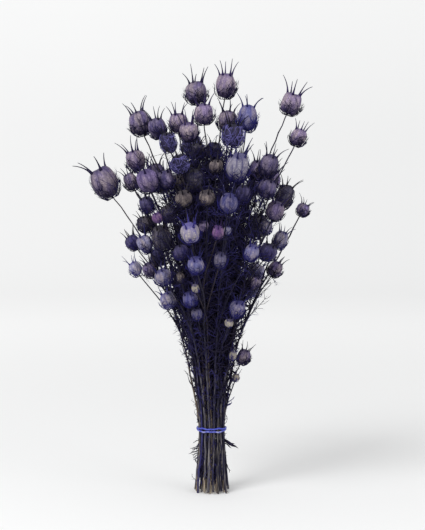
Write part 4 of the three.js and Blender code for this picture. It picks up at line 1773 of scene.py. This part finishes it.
@dataclass(frozen=True)
class PodSkin:
    """Dry papery skin: dyed ground, dark ribs and grooves, a net of veins, paler patches, and painted shade
    with the thread net at the foot.
    """

    carpels: int = 5
    patch: Colour = from_hex(0xC3B3A9)
    own_spread: float = 60
    net_scale: float = 330
    wrinkle_scale: float = 420
    sway_scale: Triple = (1.6, 1.6, 2.6)
    streak_scale: Triple = (6, 6, 1.7)
    blotch_scale: Triple = (1.7, 1.7, 2.4)
    patch_scale: Triple = (1.5, 1.5, 1.6)
    faint_scale: Triple = (2.4, 2.4, 2.0)
    net_edge: Pair = (0.02, 0.2)
    groove_edge: Pair = (0.02, 0.34)
    rib_edge: Pair = (0.96, 1.0)
    foot_edge: Pair = (0.0, 0.5)
    crown_edge: Pair = (0.76, 1.0)
    faint_edge: Pair = (0.3, 0.6)
    streak_edge: Pair = (0.5, 0.7)
    blotch_edge: Pair = (0.5, 0.72)
    patch_edge: Pair = (0.39, 0.6)
    groove_dark: float = 0.85
    rib_dark: float = 0.75
    streak_dark: float = 0.62
    net_dark: float = 0.4
    net_foot: float = 0.45
    # Painted shade, with the dark net of threads, on the lower part of each pod
    foot_dark: float = 0.78
    crown_dark: float = 0.75
    blotch_dark: float = 0.7
    faintest: float = 0.25
    sway: float = 0.5
    bare_lines: float = 0.5

    def material(self) -> bpy.types.Material:
        """Makes the finish, on which each pod has clouds of its own.

        Returns:
            The material, which reads the skin, dye and stain attributes.
        """
        tree = Tree("pod_skin")
        skin = tree.attribute("skin", "Vector")
        x, y, up = (tree.along(axis, skin) for axis in range(3))
        own = tree.attribute("dye", "Alpha") * self.own_spread
        undyed = tree.attribute("stain", "Alpha")
        sway = tree.cloud(skin, self.sway_scale, own + 40, 2.0) - 0.5
        streaks = tree.cloud(skin, self.streak_scale, own, 3.0)
        blotches = tree.cloud(skin, self.blotch_scale, own, 4.0)
        patches = tree.cloud(skin, self.patch_scale, own + 20, 3.0)
        faint = tree.cloud(skin, self.faint_scale, own + 60, 2.0).between(self.faint_edge)
        wrinkles = tree.noise((self.wrinkle_scale,) * 3, 3.0)
        cells = tree.node(
            "ShaderNodeTexVoronoi",
            {"feature": "DISTANCE_TO_EDGE"},
            {"Vector": tree.place((self.net_scale,) * 3), "Scale": 1.0},
        )
        angle = y.math("ARCTAN2", x) + sway * self.sway
        half = (angle * (self.carpels / 2)).math("COSINE").math("ABSOLUTE")
        net = 1 - cells.between(self.net_edge)
        groove = 1 - half.between(self.groove_edge)
        rib = half.between(self.rib_edge)
        # Painted shade with the dark thread net: the pod gets darker towards its foot
        foot = 1 - up.between(self.foot_edge)
        crown = up.between(self.crown_edge)
        strength = (faint * (1 - self.faintest) + self.faintest) * (1 - undyed * self.bare_lines)
        lines = (groove * self.groove_dark).most(rib * self.rib_dark) * strength
        veins = lines.most(net * (foot * self.net_foot + self.net_dark))
        veins = veins.most(streaks.between(self.streak_edge) * self.streak_dark)
        # Painted shade and thread net towards the foot; darker dye at the crown and in blotches
        shade = (foot * self.foot_dark).most(crown * self.crown_dark)
        shade = shade.most(blotches.between(self.blotch_edge) * self.blotch_dark)
        stain = 1 - (1 - veins) * (1 - shade)
        pale = tree.mix(patches.between(self.patch_edge) * undyed, tree.attribute("dye"), (*self.patch, 1))
        colour = tree.mix(stain, pale, tree.attribute("stain"))
        relief = rib * 0.6 - groove * 0.7 + net * 0.4 + wrinkles + streaks
        return tree.finish(colour, blotches * 0.2 + 0.48, 0.35, Normal=tree.bump(relief, 0.7, 0.0008))


@dataclass(frozen=True)
class DriedStalk:
    """Dry furrowed stalk, dyed unevenly along its length, with pale streaks that are strong near its foot and
    faint higher up.
    """

    light: Colour = from_hex(0x9F9890)
    furrow: Colour = (0.3, 0.28, 0.38)
    furrow_scale: Triple = (1100, 1100, 24)
    furrow_edge: Pair = (0.38, 0.6)
    wear_scale: Triple = (700, 700, 34)
    wear_edge: Pair = (0.52, 0.7)
    worn_heights: Pair = (0.07, 0.17)
    worn_low: float = 0.75
    worn_less: float = 0.67

    def material(self) -> bpy.types.Material:
        """Makes the finish.

        Returns:
            The material, which reads the dye attribute.
        """
        tree = Tree("dried_stalk")
        furrows = tree.noise(self.furrow_scale, 3.0)
        # Pale streaks, strong up to about the band and faint above it
        pale_lines = tree.noise(self.wear_scale, 4.0).between(self.wear_edge)
        dark = (*self.furrow, 1)
        deep = tree.mix(furrows.between(self.furrow_edge), tree.attribute("dye"), dark, "MULTIPLY")
        height = tree.along(2, tree.place())
        paled = pale_lines * (self.worn_low - height.between(self.worn_heights) * self.worn_less)
        colour = tree.mix(paled, deep, (*self.light, 1))
        return tree.finish(colour, pale_lines * 0.15 + 0.6, 0.2, Normal=tree.bump(furrows, 0.6, 0.0005))


@dataclass(frozen=True)
class DryThread:
    """Hair-thin dry leaf, dyed, a little paler in places."""

    light: Colour = from_hex(0x3C3878)
    light_share: float = 0.4
    cloud_scale: Triple = (90, 90, 90)
    cloud_edge: Pair = (0.5, 0.75)

    def material(self) -> bpy.types.Material:
        """Makes the finish.

        Returns:
            The material, which reads the dye attribute.
        """
        tree = Tree("dry_thread")
        cloud = tree.noise(self.cloud_scale, 3.0).between(self.cloud_edge)
        colour = tree.mix(cloud * self.light_share, tree.attribute("dye"), (*self.light, 1))
        return tree.finish(colour, cloud * 0.1 + 0.7, 0.1)


@dataclass(frozen=True)
class BandRubber:
    """Smooth ultramarine rubber with a pale dusty film, and a painted highlight in patches along the lower
    turn.
    """

    colour: Colour = from_hex(0x3F4BBB)
    # Pale colour of the dust and of the painted highlight
    bloom: Colour = from_hex(0xB4B4E2)
    middle: float = 0.0735
    middle_edge: Pair = (0.0, 0.0008)
    dust_scale: Triple = (420, 420, 900)
    dust_edge: Pair = (0.5, 0.8)
    dust_share: float = 0.35
    # Patches of painted highlight on the lower turn
    stretch_scale: Triple = (260, 260, 80)
    stretch_edge: Pair = (0.42, 0.58)
    stretch_share: float = 0.65

    def material(self) -> bpy.types.Material:
        """Makes the finish.

        Returns:
            The material.
        """
        tree = Tree("band_rubber")
        dust = tree.noise(self.dust_scale, 3.0).between(self.dust_edge)
        # Painted highlight: pale patches along the lower turn of the band
        lower = (self.middle - tree.along(2, tree.place())).between(self.middle_edge)
        paled = lower * tree.noise(self.stretch_scale, 2.0).between(self.stretch_edge)
        pale = dust * self.dust_share + paled * self.stretch_share
        colour = tree.mix(pale, (*self.colour, 1), (*self.bloom, 1))
        return tree.finish(colour, dust * 0.25 + 0.32, 0.5, Normal=tree.bump(dust, 0.2, 0.0002))


@dataclass(frozen=True)
class PalePaper:
    """Seamless pale paper of the floor and backdrop, with a faint glow that is dim near the bunch."""

    colour: Colour = (0.87, 0.875, 0.875)
    glow: float = 0.32
    near_share: float = 0.16
    away_edge: Pair = (0.25, 2.2)
    away_share: float = 0.72
    upper_edge: Pair = (0.5, 1.5)
    upper_share: float = 0.22
    right_edge: Pair = (-1, 1)
    right_loss: float = 0.14
    front_edge: Pair = (0.5, 3)
    front_share: float = 0.35

    def material(self) -> bpy.types.Material:
        """Makes the finish.

        Returns:
            The material.
        """
        tree = Tree("pale_paper")
        grain = tree.noise((900, 900, 900), 2.0)
        away = tree.node("ShaderNodeVectorMath", {"operation": "LENGTH"}, [tree.place((1, 1, 0))], "Value")
        x, y, height = (tree.along(axis, tree.place()) for axis in range(3))
        upper = height.between(self.upper_edge) * self.upper_share
        right = x.between(self.right_edge) * self.right_loss
        front = (0 - y).between(self.front_edge) * self.front_share
        light = away.between(self.away_edge) * (upper - right + front + self.away_share)
        return tree.finish(
            (*self.colour, 1),
            grain * 0.1 + 0.85,
            0.1,
            Emission_Color=tree.mix(light, (*(self.near_share,) * 3, 1), (1, 1, 1, 1)),
            Emission_Strength=self.glow,
        )


class SoftLight(NamedTuple):
    """A square soft light: its name, place from the foot of the bunch, size and power."""

    name: str
    place: Triple
    size: float
    power: float


@dataclass
class Studio:
    """Pale seamless floor, soft light and the camera, in metres and degrees."""

    floor_start: float = 0.02
    floor_radius: float = 3.2
    sweep_radius: float = 1.4
    sweep_steps: int = 12
    wall_height: float = 4.5
    steps_round: int = 96
    world_strength: float = 0.66
    key: SoftLight = SoftLight("key", (-1.2, -1.5, 2.1), 1.2, 38)
    fill: SoftLight = SoftLight("fill", (1.8, -1.4, 1.0), 1.6, 10)
    light_target: float = 0.3
    camera_lens: float = 85.0
    camera_sensor: float = 36
    camera_sight: float = 50
    camera_pitch: float = 2.965
    picture_middle: float = 212.5

    def backdrop(self, axis: Vector) -> None:
        """Makes a round floor that sweeps up into a wall all round, which only the camera sees.

        Args:
            axis: Foot of the bunch's axis.
        """
        form = bmesh.new()
        profile = [Vector((self.floor_start, 0, 0)), Vector((self.floor_radius, 0, 0))]
        centre = Vector((self.floor_radius, 0, self.sweep_radius))
        for k in range(1, self.sweep_steps + 1):
            tilt = math.pi / 2 * k / self.sweep_steps
            profile.append(centre + self.sweep_radius * Vector((math.sin(tilt), 0, -math.cos(tilt))))
        profile.append(profile[-1] + Vector((0, 0, self.wall_height)))
        verts = [form.verts.new(point + axis) for point in profile]
        edges = [form.edges.new(pair) for pair in zip(verts, verts[1:])]
        spin_round(form, [*verts, *edges], tuple(axis), self.steps_round)
        rim = [edge for edge in form.edges if edge.is_boundary and edge.verts[0].co.z < MM]
        bmesh.ops.holes_fill(form, edges=rim)
        bmesh.ops.recalc_face_normals(form, faces=form.faces[:])
        backdrop = make_object("backdrop", form, [PalePaper().material()])
        backdrop.visible_shadow = False
        backdrop.visible_diffuse = False
        backdrop.visible_glossy = False

    def lights(self, axis: Vector) -> None:
        """Sets white surroundings, a large soft light from the upper left and a weak one from the right.

        Args:
            axis: Foot of the bunch's axis.
        """
        world = bpy.data.worlds.new("studio")
        world.use_nodes = True
        sky = world.node_tree.nodes["Background"]
        sky.inputs["Color"].default_value = (1, 1, 1, 1)
        sky.inputs["Strength"].default_value = self.world_strength
        bpy.context.scene.world = world
        for soft in (self.key, self.fill):
            light = bpy.data.lights.new(soft.name, "AREA")
            light.size = soft.size
            light.energy = soft.power
            lamp = bpy.data.objects.new(soft.name, light)
            lamp.location = axis + Vector(soft.place)
            way = axis + Vector((0, 0, self.light_target)) - lamp.location
            lamp.rotation_euler = way.to_track_quat("-Z", "Y").to_euler()
            bpy.context.scene.collection.objects.link(lamp)

    def camera(self, axis: Vector, layout: BunchLayout) -> None:
        """Sets the camera at the photograph's viewing angle.

        Args:
            axis: Foot of the bunch's axis.
            layout: The bunch, which knows where it is viewed from.
        """
        lens = bpy.data.cameras.new("camera")
        lens.lens = self.camera_lens
        lens.sensor_width = self.camera_sensor
        lens.clip_end = self.camera_sight
        camera = bpy.data.objects.new("camera", lens)
        aside = (self.picture_middle - layout.picture_axis) * layout.mm_per_pixel * MM
        camera.location = axis + Vector((aside, -layout.view_distance * MM, layout.view_height * MM))
        camera.rotation_euler = (math.radians(90 - self.camera_pitch), 0, 0)
        bpy.context.scene.collection.objects.link(camera)
        bpy.context.scene.camera = camera

    def build(self, axis: Vector, layout: BunchLayout) -> None:
        """Sets up the studio round the bunch.

        Args:
            axis: Foot of the bunch's axis.
            layout: The bunch.
        """
        self.backdrop(axis)
        self.lights(axis)
        self.camera(axis, layout)
        bpy.context.scene.view_settings.view_transform = "Standard"


def main() -> None:
    """Builds the studio, the stems and the band, and notes the sizes."""
    logging.basicConfig(level=logging.INFO, format="%(message)s")
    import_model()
    low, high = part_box("band")
    middle = (low + high) / 2
    axis = Vector((middle.x, middle.y, 0))
    offset = np.array(axis) / MM
    layout = BunchLayout()
    Studio().build(axis, layout)
    template = PodForm().template()
    finishes = [PodSkin().material(), DriedStalk().material(), DryThread().material()]
    for stem in layout.stems:
        own = [stalk for stalk in layout.stalks if stalk.stem == stem.stem]
        strays = [stray for stray in STRAYS if layout.outermost(stray.height, stray.side) is stem]
        piece = StemPiece(stem, own, strays).build(template, offset, finishes)
        LOG.info("%s: %d faces", piece.name, len(piece.data.polygons))
    band = RubberBand().build(offset, BandRubber().material())
    LOG.info("%s: %d faces", band.name, len(band.data.polygons))


if __name__ == "__main__":
    main()
